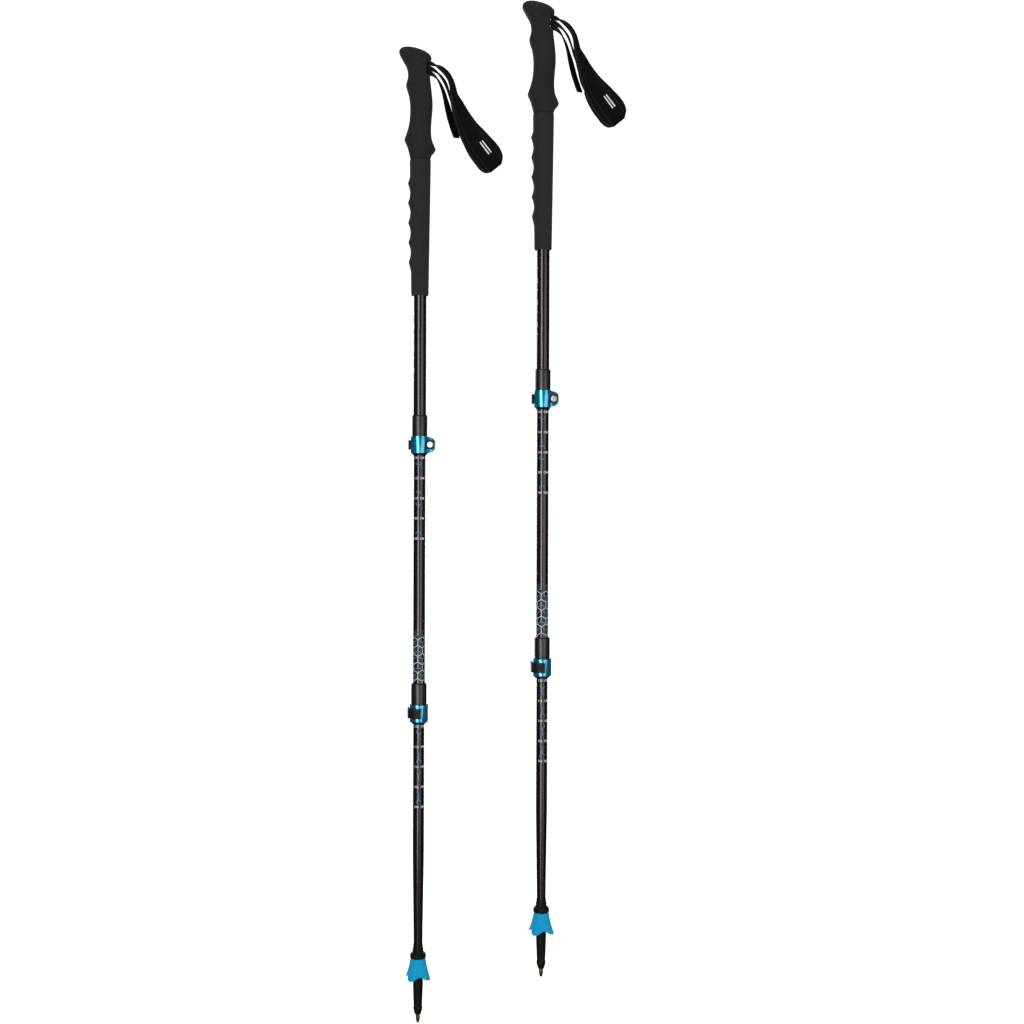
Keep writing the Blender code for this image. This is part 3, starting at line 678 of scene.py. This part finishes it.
def loop_thickness(f):
    """The padded part is thicker than the webbing it grows out of."""
    run = f * LOOP_FRAMES[-1][4]
    return 2.0 + 1.3 * max(0.0, min(1.0, (run - PAD_FROM) / 9.0, (PAD_TO - run) / 9.0))


# two plain bars on the pad's outer face, towards its outer edge
BAR_AT = min(LOOP_FRAMES, key=lambda f: (f[0] - Vector((77.0, -9.0, 1071.5))).length)
BAR_SENSE = 1 if BAR_AT[1].dot(Vector((1, 0, 1))) > 0 else -1
MAT["strap_mark"] = weave("pad_mark_look", (0.0019, 0.0017, 0.0020), 0.62, 0.50, 0.08, stitches=(10.6,),
                          bars=[((BAR_AT[4], 9.0), (BAR_SENSE * v, 0.8)) for v in (2.2, 5.6)])
MARKED = (BAR_AT[4] - 14, BAR_AT[4] + 14, BAR_AT[2].y < 0, 2)


# ------------------------------------------------------------------ lock
COLLAR_R, COLLAR_BELOW, COLLAR_ABOVE, TUBE_END_ABOVE = 9.6, 12.9, 36.7, 12.6
BAND_IN_R, BAND_OUT_R, BAND_HALF_H = 9.9, 11.6, 10.3
EAR_REACH, EAR_REAR_Y, EAR_FRONT_Y, SLIT = 5.9, 4.9, -6.4, 0.9
EAR_OUTLINE = [(1.0, 3.0), (0.93, 5.0), (0.72, 6.9), (0.36, 8.3), (-0.1, 9.2)]
PIVOT = (13.6, 9.6)
BOSS_R, BARREL_R, BARREL_HOLE_R = 4.4, 2.6, 2.8
LEVER_IN_R, LEVER_OUT_R, LEVER_LOW, LEVER_HIGH, LEVER_TIP_DEG = 10.9, 13.9, -5.7, 5.8, 195.0


def collar_mesh(outer_tube_r, inner_bore_r):
    lo, hi, step = -COLLAR_BELOW, COLLAR_ABOVE, TUBE_END_ABOVE - 0.3
    profile = [(inner_bore_r, lo + 0.3), (inner_bore_r + 0.3, lo), (8.2, lo), (8.5, lo + 0.25), (COLLAR_R - 0.15, lo + 1.9),
               (COLLAR_R, lo + 2.5), (COLLAR_R, 12.0), (COLLAR_R - 0.18, 12.3), (COLLAR_R - 0.18, 13.1), (COLLAR_R, 13.4),
               (COLLAR_R, hi - 1.9), (COLLAR_R - 0.12, hi - 1.2), (COLLAR_R - 0.5, hi - 0.35), (8.85, hi),
               (outer_tube_r + 0.3, hi), (outer_tube_r + 0.2, hi - 0.2), (outer_tube_r + 0.2, step), (inner_bore_r, step)]
    return carved(turned("collar", profile), [block("slit", (5, -0.75, lo - 5), (15, 0.75, 9.5))], sharp=30)


def band_mesh():
    h, steps, px = BAND_HALF_H, 72, PIVOT[0]
    a_rear = math.degrees(math.asin(EAR_REAR_Y / BAND_OUT_R))
    a_front = 360 + math.degrees(math.asin(EAR_FRONT_Y / BAND_OUT_R))
    # the ears taper from the band's height and are rounded off past the screw
    tab = [(px + EAR_REACH * f, e) for f, e in curve_through(EAR_OUTLINE, 4)]
    outer = [(x, EAR_REAR_Y) for x, e in tab] + arc(BAND_OUT_R, a_rear, a_front, steps) + [(x, EAR_FRONT_Y) for x, e in reversed(tab)]
    inner = [(x, SLIT) for x, e in tab] + arc(BAND_IN_R, 5.3, 354.7, steps) + [(x, -SLIT) for x, e in reversed(tab)]
    tall = [e for x, e in tab] + [h] * (len(outer) - 2 * len(tab)) + [e for x, e in reversed(tab)]
    body = loft("band", [[(ox, oy, -e), (ox, oy, e), (ix, iy, e), (ix, iy, -e)] for (ox, oy), (ix, iy), e in zip(outer, inner, tall)])
    recess = arc(16.5, 24, 203, 48) + list(reversed(arc(10.6, 24, 203, 48)))
    cutters = [
        prism("recess", recess, LEVER_LOW - 0.5, LEVER_HIGH + 0.5),
        rod("seat", 6.2, (px, EAR_FRONT_Y - 0.05, 0), (px, -16, 0), 48),
        rod("screw_way", 1.85, (px, -12, 0), (px, 8, 0), 24),
    ]
    return carved(body, cutters, bevel=0.30, segments=3, sharp=28, angle=42)


def lever_mesh():
    px, py = PIVOT
    # the arm is an arc of even width and height from 44 degrees round to its tip
    outer = arc(LEVER_OUT_R, 44, LEVER_TIP_DEG, 40)
    inner = arc(LEVER_IN_R, 44, LEVER_TIP_DEG, 40)
    arm = prism("arm", outer + list(reversed(inner)), LEVER_LOW, LEVER_HIGH)
    boss = prism("boss", arc(BOSS_R, 0, 354, 59, PIVOT), LEVER_LOW, LEVER_HIGH)
    sector = [PIVOT] + arc(7.5, 230, 440, 24, PIVOT)
    cutters = [
        rod("barrel_bore", BARREL_HOLE_R, (px, py, -20), (px, py, 20), 40),
        prism("screw_groove", sector, -2.2, 2.2),
    ]
    # grip grooves across the arm's outside near its tip
    for i in range(5):
        a = LEVER_TIP_DEG - 9 - 6.2 * i
        c = (math.cos(math.radians(a)) * (LEVER_OUT_R + 0.18), math.sin(math.radians(a)) * (LEVER_OUT_R + 0.18))
        cutters.append(rod("groove", 0.55, (c[0], c[1], LEVER_LOW + 1.6), (c[0], c[1], LEVER_HIGH - 1.6), 12))
    return carved(arm, cutters, [boss], bevel=0.35, segments=3, sharp=28, angle=42)


def barrel_mesh():
    px, py = PIVOT
    body = rod("barrel", BARREL_R, (px, py, LEVER_LOW + 0.3), (px, py, LEVER_HIGH - 0.3), 40)
    return carved(body, [rod("thread", 1.7, (px, -5, 0), (px, 30, 0), 24)], bevel=0.25)


def face_front(mesh):
    mesh.transform(Matrix.Translation((PIVOT[0] * MM, 0, 0)) @ Matrix.Rotation(math.radians(90), 4, "X"))
    return mesh


def screw_mesh():
    """Tension screw: low domed head with a hexagon socket, threaded shank."""
    profile = [(0, 9.75), (1.2, 9.75), (2.8, 9.72), (3.6, 9.66), (3.95, 9.45), (4.15, 9.1), (4.15, 8.3), (1.5, 8.3)]
    z = 8.0
    while z > 2.0:
        profile += [(1.5, z)]
        z -= 6.2
    profile = profile[:8]
    z = 3.0
    profile.append((1.5, z))
    while z > -10.4:
        profile += [(1.28, z - 0.35), (1.5, z - 0.7)]
        z -= 0.7
    profile += [(1.2, -11.4), (0, -11.4)]
    mesh = turned("screw", profile, 32, closed=False, sharp=25)
    socket = prism("socket", [(1.15 * math.cos(math.radians(60 * i)), 1.15 * math.sin(math.radians(60 * i))) for i in range(6)], 8.7, 11)
    return face_front(carved(mesh, [socket], bevel=0.0, sharp=25))


def ring_mesh():
    """The knurled ring round the screw's head."""
    profile = [(1.9, 6.7), (5.3, 6.7), (5.8, 7.1), (5.8, 9.4), (5.6, 9.8), (5.3, 10.0), (4.6, 10.0), (4.5, 9.85), (4.5, 8.0), (1.9, 8.0)]
    body = turned("ring", profile, 72)
    cutters = []
    for i in range(24):
        a = 2 * math.pi * i / 24
        c = (math.cos(a) * 5.98, math.sin(a) * 5.98)
        cutters.append(rod("knurl", 0.34, (c[0], c[1], 6.0), (c[0], c[1], 9.5), 8))
    return face_front(carved(body, cutters, sharp=25))


# ------------------------------------------------------------------ tip
def ferrule_mesh():
    outside = [(2.45, 10.3), (2.6, 10.0), (3.5, 10.0), (3.9, 10.5), (4.6, 13.0), (5.3, 15.6), (5.55, 16.8), (5.55, 18.3), (5.25, 19.4), (5.15, 20.2),
               (5.3, 24.0), (6.0, 42.0), (6.15, 47.0), (6.2, 79.5), (9.0, 79.5), (9.5, 79.75), (9.8, 80.6), (9.8, 82.0), (9.65, 83.6), (9.3, 84.8), (8.5, 85.7),
               (7.0, 86.4), (6.5, 86.7), (6.35, 87.3), (6.3, 91.4), (6.2, 91.9), (5.95, 92.1), (5.9, 92.6), (5.9, 95.6), (5.75, 96.0)]
    inside = [(5.6, 96.0), (5.6, 66.5), (0, 66.5)]
    profile = [(0, 24.5), (2.45, 24.5)] + outside + inside
    body = turned("ferrule", profile, 64, closed=False, sharp=24)
    ribs = []
    for i in range(12):       # short grip ribs under the flange's neck
        a = 2 * math.pi * i / 12 + 0.13
        c, s = math.cos(a), math.sin(a)
        ribs.append(rod("rib", 0.45, (c * 6.25, s * 6.25, 86.9), (c * 6.2, s * 6.2, 91.2), 10))
    return carved(body, joined=ribs, sharp=26)


def hard_tip_mesh():
    """Bronze-coloured sleeve with a small hollow-ground end."""
    profile = [(0, 0.9), (0.7, 0.45), (1.25, 0.0), (1.5, 0.0), (1.75, 0.5), (1.95, 2.2), (2.2, 2.9), (2.55, 4.4), (2.6, 4.8), (2.6, 9.7), (2.45, 10.0),
               (2.2, 10.0), (2.2, 24.0), (0, 24.0)]
    return turned("tip", profile, 48, closed=False, sharp=24)


LOBES, LOBE_TURN = 4, math.radians(-31)


def basket_mesh():
    sides = 128

    def ring(radius, z, lobe, drop, flute=0.0):
        out = []
        for i in range(sides):
            t = 2 * math.pi * i / sides
            c = math.cos(LOBES * (t - LOBE_TURN))
            m = 0.5 + 0.5 * c
            r = radius + lobe * (m ** 0.8 - 0.5) + flute * c
            out.append((r * math.cos(t), r * math.sin(t), z - drop * m))
        return out

    rings = [ring(6.6, 70.7, 0, 0), ring(6.6, 78.9, 0, 0), ring(6.8, 79.2, 0, 0), ring(8.8, 79.2, 0, 0), ring(9.15, 79.0, 0, 0), ring(9.3, 78.4, 0, 0)]
    for k in range(1, 13):
        f = k / 12
        z = 78.4 + (58.8 - 78.4) * f
        r = 9.3 + (14.5 - 9.3) * (0.60 * f + 0.40 * f * f)
        rings.append(ring(r, z, 4.5 * f ** 2.2, 4.2 * f ** 3.0, 0.12 * f))
    rings += [ring(14.65, 58.4, 4.6, 4.2), ring(14.5, 58.15, 4.6, 4.2), ring(13.8, 58.1, 4.5, 4.1), ring(13.4, 58.25, 4.4, 3.9)]
    for k in range(1, 11):
        f = 1 - k / 10
        z = 70.3 + (58.8 - 70.3) * f
        r = 8.8 + (13.2 - 8.8) * (0.6 * f + 0.4 * f * f)
        rings.append(ring(r, z, 4.2 * f ** 2.0, 3.8 * f ** 2.6))
    return loft("basket", rings, loop=True, sharp=40)


# ------------------------------------------------------------------ tubes and their print
UPPER_R, UPPER_BORE, MIDDLE_R, MIDDLE_BORE, LOWER_R, LOWER_BORE = 8.05, 7.60, 7.45, 7.05, 6.90, 6.30
UPPER_TOP, MIDDLE_TOP, LOWER_TOP = 1160.0, 852.0, 558.0


def tube_mesh(name, r, bore, low, high):
    lip = 0.15
    return turned(name, [(bore, low + lip), (bore + lip, low), (r - lip, low), (r, low + lip), (r, high - lip), (r - lip, high),
                         (bore + lip, high), (bore, high - lip)], 96)


def lower_tube_mesh():
    taper = [(5.4, 96.4), (5.50, 106), (5.62, 118), (5.90, 137), (6.30, 165), (6.55, 181), (6.75, 198), (6.86, 212), (LOWER_R, 228)]
    profile = [(4.75, 67.0), (5.4, 67.0)] + taper + [(LOWER_R, LOWER_TOP - 0.15), (LOWER_R - 0.15, LOWER_TOP), (LOWER_BORE, LOWER_TOP),
                                                    (LOWER_BORE, 225.0), (4.75, 96.4)]
    return turned("lower_tube", profile, 96)


def wrap(x, z, radius, lift):
    """A point x mm round the shaft from the side that faces the front (-Y), z mm up, lift off the surface."""
    a = x / radius - math.pi / 2
    return Vector(((radius + lift) * math.cos(a), (radius + lift) * math.sin(a), z)) * MM


def stroke(bm, radius, start, end, width, index, low=-0.02, high=0.035):
    """A thin raised line on the shaft between two (x, z) points, closed all round."""
    (x0, z0), (x1, z1) = start, end
    length = math.hypot(x1 - x0, z1 - z0)
    if length < 1e-6:
        return
    nx, nz = -(z1 - z0) / length * width / 2, (x1 - x0) / length * width / 2
    steps = max(1, int(abs(x1 - x0) / 0.7) + 1)
    rows = []
    for i in range(steps + 1):
        f = i / steps
        x, z = x0 + (x1 - x0) * f, z0 + (z1 - z0) * f
        rows.append([bm.verts.new(wrap(x + sx * nx, z + sx * nz, radius, l)) for sx, l in ((-1, low), (1, low), (1, high), (-1, high))])
    for a, b in zip(rows, rows[1:]):
        for i in range(4):
            f = bm.faces.new((a[i], a[(i + 1) % 4], b[(i + 1) % 4], b[i]))
            f.material_index = index
    for row in (rows[0], rows[-1]):
        bm.faces.new(row).material_index = index


def glyphs(text, height):
    """Flat text as a list of (verts, faces) in mm, centred."""
    font = bpy.data.curves.new("glyph", "FONT")
    font.body = text
    font.size = height / 0.70
    font.align_x, font.align_y = "CENTER", "CENTER"
    font.resolution_u = 3
    font.extrude = 0.0275
    font.offset = 0.045
    obj = bpy.data.objects.new("glyph", font)
    SCENE.collection.objects.link(obj)
    bpy.context.view_layer.update()
    mesh = bpy.data.meshes.new_from_object(obj.evaluated_get(bpy.context.evaluated_depsgraph_get()))
    bpy.data.objects.remove(obj, do_unlink=True)
    bm = bmesh.new()
    bm.from_mesh(mesh)
    bmesh.ops.remove_doubles(bm, verts=bm.verts, dist=1e-4)
    x = -9.0
    while x < 9.0:
        bmesh.ops.bisect_plane(bm, geom=list(bm.verts) + list(bm.edges) + list(bm.faces), plane_co=(x, 0, 0), plane_no=(1, 0, 0), dist=1e-5)
        x += 0.75
    out = ([tuple(v.co) for v in bm.verts], [[v.index for v in f.verts] for f in (bm.faces.ensure_lookup_table() or bm.faces)])
    bm.verts.index_update()
    out = ([tuple(v.co) for v in bm.verts], [[v.index for v in f.verts] for f in bm.faces])
    bm.free()
    return out


GLYPHS = {}


def text_on(bm, radius, text, height, x, z, index):
    key = (text, height)
    if key not in GLYPHS:
        GLYPHS[key] = glyphs(text, height)
    verts, faces = GLYPHS[key]
    new = [bm.verts.new(wrap(x + vx, z + vy, radius, 0.0075 + vz)) for vx, vy, vz in verts]
    for face in faces:
        try:
            bm.faces.new([new[i] for i in face]).material_index = index
        except ValueError:
            pass


def print_mesh(name, radius, marks, shift, gap, hexes=None, seed=0):
    """Length marks, forked lines between them and, on the middle tube, a hexagon lattice above the lower lock."""
    bm = bmesh.new()
    for label, z in marks:
        text_on(bm, radius, str(label), 2.7, shift - 3.9, z, 0)
        text_on(bm, radius, "CM", 2.7, shift + gap, z, 0)
    for k, ((_, z0), (_, z1)) in enumerate(zip(marks[:-1], marks[1:])):
        # between two marks: forks and a broken hexagon under them, in blue
        z, side, cx = (z0 + z1) / 2, 3.3, shift - 0.9
        flip = 1 if (k + seed) % 2 else -1
        joint = z + 3.2 * flip
        stroke(bm, radius, (cx, joint), (cx, joint - 8.6 * flip), 0.46, 1)
        for sx in (-1, 1):
            stroke(bm, radius, (cx, joint), (cx + sx * side * 0.87, joint + side * 0.55 * flip), 0.46, 1)
            if (k + seed + sx) % 3:
                stroke(bm, radius, (cx + sx * side * 0.87, joint + side * 0.55 * flip), (cx + sx * side * 0.87, joint + side * 1.3 * flip), 0.36, 1)
        low = joint - 6.4 * flip
        for e in range(6):
            if (e * 7 + k * 3 + seed) % 6 in (0, 3):
                continue
            a0, a1 = math.radians(60 * e + 30), math.radians(60 * e + 90)
            p0 = (cx + 1.0 + side * 0.9 * math.cos(a0), low + side * 0.9 * math.sin(a0))
            p1 = (cx + 1.0 + side * 0.9 * math.cos(a1), low + side * 0.9 * math.sin(a1))
            stroke(bm, radius, p0, p1, 0.40, 2)
    if hexes:
        low, strong, high, first, left = hexes
        around = 4
        width = 2 * math.pi * radius / around
        side = width / math.sqrt(3)
        row, z = 0, first
        while z < high + side:
            for c in range(around):
                cx = left + (c + (0.5 if row % 2 else 0.0)) * width
                corners = [(cx + side * math.cos(math.radians(60 * e + 30)), z + side * math.sin(math.radians(60 * e + 30))) for e in range(6)]
                fade = min(1.0, max(0.0, (high - z) / (high - strong)))
                # each lattice line is drawn once: right, upper right and upper left edges
                for e in (5, 0, 1):
                    a, b = clip_low(corners[e], corners[(e + 1) % 6], low)
                    if a is not None and (fade > 0.55 or (row * 5 + c * 3 + e) % 4 < 4 * fade):
                        stroke(bm, radius, a, b, 0.58 * (0.45 + 0.55 * fade), 0 if fade > 0.6 else 3)
                # a three-way star inside each hexagon, and dark panes between its arms
                if fade > 0.45:
                    turn = 0 if row % 2 else 60
                    for e in (0, 2, 4):
                        a_e = math.radians(60 * e + 30 + turn)
                        tip = (cx + side * 0.74 * math.cos(a_e), z + side * 0.74 * math.sin(a_e))
                        a, b = clip_low((cx, z), tip, low)
                        if a is not None and (fade > 0.6 or (row + c + e) % 3):
                            stroke(bm, radius, a, b, 0.50, 1)
                    for e in (1, 3, 5):
                        if (row * 2 + c + e) % 3 == 0 or fade < 0.5:
                            continue
                        a_e = 60 * e + 30 + turn
                        q = [(cx + side * k * math.cos(math.radians(a_e + d)), z + side * k * math.sin(math.radians(a_e + d)))
                             for k, d in ((0.20, 0), (0.60, 36), (0.76, 0), (0.60, -36))]
                        if min(p[1] for p in q) > low:
                            pane(bm, radius, q, 2)
            z += 1.5 * side
            row += 1
    return to_mesh(bm, name, 30, smooth=False)


def pane(bm, radius, corners, index, low=-0.02, high=0.02):
    """A filled four-sided patch on the shaft."""
    steps = 4
    grid_low, grid_high = [], []
    (a, b, c, d) = corners
    for i in range(steps + 1):
        rl, rh = [], []
        for j in range(steps + 1):
            s, t = i / steps, j / steps
            x = (1 - s) * ((1 - t) * a[0] + t * b[0]) + s * ((1 - t) * d[0] + t * c[0])
            z = (1 - s) * ((1 - t) * a[1] + t * b[1]) + s * ((1 - t) * d[1] + t * c[1])
            rl.append(bm.verts.new(wrap(x, z, radius, low)))
            rh.append(bm.verts.new(wrap(x, z, radius, high)))
        grid_low.append(rl)
        grid_high.append(rh)
    for i in range(steps):
        for j in range(steps):
            for g in (grid_low, grid_high):
                bm.faces.new((g[i][j], g[i + 1][j], g[i + 1][j + 1], g[i][j + 1])).material_index = index
    rim = [(i, 0) for i in range(steps)] + [(steps, j) for j in range(steps)] + [(i, steps) for i in range(steps, 0, -1)] + [(0, j) for j in range(steps, 0, -1)]
    for (i0, j0), (i1, j1) in zip(rim, rim[1:] + rim[:1]):
        bm.faces.new((grid_low[i0][j0], grid_low[i1][j1], grid_high[i1][j1], grid_high[i0][j0])).material_index = index


def clip_low(a, b, low):
    if a[1] < low and b[1] < low:
        return None, None
    if a[1] >= low and b[1] >= low:
        return a, b
    if a[1] > b[1]:
        a, b = b, a
    f = (low - a[1]) / (b[1] - a[1])
    return (a[0] + (b[0] - a[0]) * f, low), b


def dash_mesh():
    """A plain broken line down the upper tube."""
    bm = bmesh.new()
    for k in range(7):
        z = 872 - 13.5 * k
        stroke(bm, UPPER_R, (-8.4, z), (-8.4, z - (6.5 if k % 2 else 2.2)), 0.8, 0)
    return to_mesh(bm, "dashes", 30, smooth=False)


# ------------------------------------------------------------------ build
HEAD, SLEEVE = head_mesh(), sleeve_mesh()
BAND, LEVER, BARREL, SCREW, RING = band_mesh(), lever_mesh(), barrel_mesh(), screw_mesh(), ring_mesh()
COLLARS = {"upper": collar_mesh(UPPER_R, MIDDLE_R + 0.2), "lower": collar_mesh(MIDDLE_R, LOWER_R + 0.2)}
FERRULE, TIP, BASKET = ferrule_mesh(), hard_tip_mesh(), basket_mesh()
UPPER_LOCK, LOWER_LOCK = lock_height("left", "upper"), lock_height("left", "lower")
UPPER_LOCK, LOWER_LOCK = UPPER_LOCK / MM, LOWER_LOCK / MM
UPPER_TUBE = tube_mesh("upper_tube", UPPER_R, UPPER_BORE, UPPER_LOCK + TUBE_END_ABOVE, UPPER_TOP)
MIDDLE_TUBE = tube_mesh("middle_tube", MIDDLE_R, MIDDLE_BORE, LOWER_LOCK + TUBE_END_ABOVE, MIDDLE_TOP)
LOWER_TUBE = lower_tube_mesh()
LOOP = tape("wrist_loop", LOOP_PATH, loop_thickness, steps=8, wide=14, edge=(1.7, 0.22), crown=0.10, body_mat=0, edge_mat=1, marked=MARKED)
TAIL = tape("tail", TAIL_PATH, 1.9, steps=8, wide=8, end_round=2.0)
MIDDLE_MARKS = [(135, 769.0), (130, 744.0), (125, 719.0), (120, 694.0), (115, 669.0), (110, 644.3), (105, 619.8), (100, 595.0)]
LOWER_MARKS = [(135, 439.5), (130, 414.5), (125, 389.5), (120, 364.5), (115, 339.5), (110, 315.0), (105, 290.3), (100, 265.8)]
MIDDLE_PRINT = print_mesh("middle_print", MIDDLE_R, MIDDLE_MARKS, 0.0, 4.0, hexes=(417.5, 456.0, 500.0, 396.6, -1.0))
LOWER_PRINT = print_mesh("lower_print", LOWER_R, LOWER_MARKS, 1.6, 4.3, seed=2)
DASHES = dash_mesh()

LOCK_TURN = {"upper": Matrix.Identity(4), "lower": Matrix.Rotation(math.radians(90), 4, "Z")}

for side in ("left", "right"):
    place("head_grip_look", HEAD, MAT["grip_foam"], side, "upper_section", ["grip_head"])
    place("sleeve_grip_look", SLEEVE, MAT["sleeve_foam"], side, "upper_section", ["grip_sleeve"])
    place("upper_tube_look", UPPER_TUBE, MAT["shaft"], side, "upper_section", ["upper_tube"])
    place("middle_tube_look", MIDDLE_TUBE, MAT["shaft"], side, "middle_section", ["middle_tube"])
    place("lower_tube_look", LOWER_TUBE, MAT["shaft"], side, "lower_section", ["lower_tube"])
    inks = [MAT["pale_ink"], MAT["blue_ink"], MAT["dark_ink"], MAT["grey_ink"]]
    place("middle_print", MIDDLE_PRINT, inks, side, "middle_section")
    place("lower_print", LOWER_PRINT, inks, side, "lower_section")
    place("upper_dashes", DASHES, inks, side, "upper_section")
    place("ferrule_look", FERRULE, MAT["tip_plastic"], side, "lower_section", ["tip_ferrule"])
    place("hard_tip_look", TIP, MAT["tip_alloy"], side, "lower_section", ["hard_tip"])
    place("basket_look", BASKET, MAT["basket_plastic"], side, "basket", ["trail_basket"])
    for lock, section in (("upper", "upper_section"), ("lower", "middle_section")):
        move = Matrix.Translation((0, 0, lock_height(side, lock))) @ LOCK_TURN[lock]
        place(f"{lock}_collar_look", COLLARS[lock], MAT["black_plastic"], side, section, [f"{lock}_collar"], move)
        place(f"{lock}_band_look", BAND, MAT["clamp_blue"], side, section, [f"{lock}_band"], move)
        place(f"{lock}_barrel_look", BARREL, MAT["steel"], side, section, [f"{lock}_barrel_nut"], move)
        place(f"{lock}_lever_look", LEVER, MAT["lever_black"], side, f"{lock}_lock_lever", [f"{lock}_lever"], move)
        place(f"{lock}_screw_look", SCREW, MAT["steel"], side, f"{lock}_lock_screw", [f"{lock}_tension_screw"], move)
        place(f"{lock}_ring_look", RING, MAT["lever_black"], side, f"{lock}_lock_screw", [f"{lock}_screw_ring"], move)
    # the strap: webs bend where they enter the head, so the strap rides on no body and its pieces are baked where they
    # stand
    tapes = [
        place("wrist_loop", LOOP, [MAT["strap_pad"], MAT["strap_edge"], MAT["strap_mark"]], side, None,
              ["strap_pad", "strap_front_web", "strap_back_web"]),
        place("tail_look", TAIL, MAT["strap_webbing"], side, None, ["strap_tail"]),
    ]
    for piece in tapes:
        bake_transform(piece)

# carried-over CAD nodes get their finished materials
for name, obj in NODES.items():
    slot = SLOT_OF[name]
    for s in obj.material_slots:
        s.material = MAT[slot]

# ------------------------------------------------------------------ floor, light, camera
def backdrop():
    """A round pale floor that sweeps up into a wall on every side, well clear of the object."""
    floor_z, flat, radius = -0.26, 3.6, 1.4
    line = [(0.0, floor_z), (1.2, floor_z), (flat, floor_z)]
    for i in range(1, 17):
        a = math.pi / 2 * i / 16
        line.append((flat + radius * math.sin(a), floor_z + radius * (1 - math.cos(a))))
    line += [(flat + radius, 3.4), (flat + radius, 5.2)]
    sides = 72
    bm = bmesh.new()
    centre = bm.verts.new((0, 0, floor_z))
    rows = [[bm.verts.new((d * math.cos(2 * math.pi * i / sides), d * math.sin(2 * math.pi * i / sides), z)) for i in range(sides)]
            for d, z in line[1:]]
    for i in range(sides):
        bm.faces.new((centre, rows[0][i], rows[0][(i + 1) % sides]))
    for a, b in zip(rows, rows[1:]):
        for i in range(sides):
            bm.faces.new((a[i], b[i], b[(i + 1) % sides], a[(i + 1) % sides]))
    mesh = to_mesh(bm, "backdrop", 60)
    mesh.materials.append(backdrop_material("backdrop_look"))
    obj = bpy.data.objects.new("backdrop", mesh)
    SCENE.collection.objects.link(obj)
    obj.visible_glossy = False


def area_light(name, place_at, aim, size, power, colour=(1, 1, 1)):
    light = bpy.data.lights.new(name, "AREA")
    light.shape = "RECTANGLE"
    light.size, light.size_y = size
    light.energy = power
    light.color = colour
    obj = bpy.data.objects.new(name, light)
    obj.location = place_at
    obj.rotation_euler = (Vector(aim) - Vector(place_at)).to_track_quat("-Z", "Z").to_euler()
    SCENE.collection.objects.link(obj)


backdrop()
AIM = (0.1, 0.0, 0.60)
R = 2.3


def around(deg, r=R, z=0.65):
    """A place round the object: 0 is the camera's side, positive to the right."""
    a = math.radians(deg)
    return (AIM[0] + r * math.sin(a), -r * math.cos(a), z)


area_light("front_left", around(-19, 2.6), AIM, (1.0, 2.4), 36)
area_light("front_right", around(38, 2.6), AIM, (1.6, 2.4), 17)
area_light("top", (0.1, -0.3, 2.7), (0.1, 0, 0.9), (1.4, 1.2), 12)
area_light("back_left", around(212, 2.3, 0.75), AIM, (0.8, 2.0), 22)
area_light("back_right", around(166, 2.3, 0.75), AIM, (0.5, 2.0), 10)

world = bpy.data.worlds.new("studio")
SCENE.world = world
world.use_nodes = True
world.node_tree.nodes["Background"].inputs["Color"].default_value = (1.0, 0.97, 0.98, 1.0)
world.node_tree.nodes["Background"].inputs["Strength"].default_value = 0.030

SCENE.view_settings.view_transform = "Standard"
SCENE.view_settings.look = "None"
SCENE.view_settings.exposure = 0.0

camera = bpy.data.cameras.new("camera")
camera.sensor_fit = "HORIZONTAL"
camera.angle = 2 * math.atan(0.5 * 1024 * 1.2308 * MM / 1.70)
cam = bpy.data.objects.new("camera", camera)
cam.location = (0.1140, -1.70, 0.628)
cam.rotation_euler = (math.radians(90), math.radians(-0.18), 0)
SCENE.collection.objects.link(cam)
SCENE.camera = cam
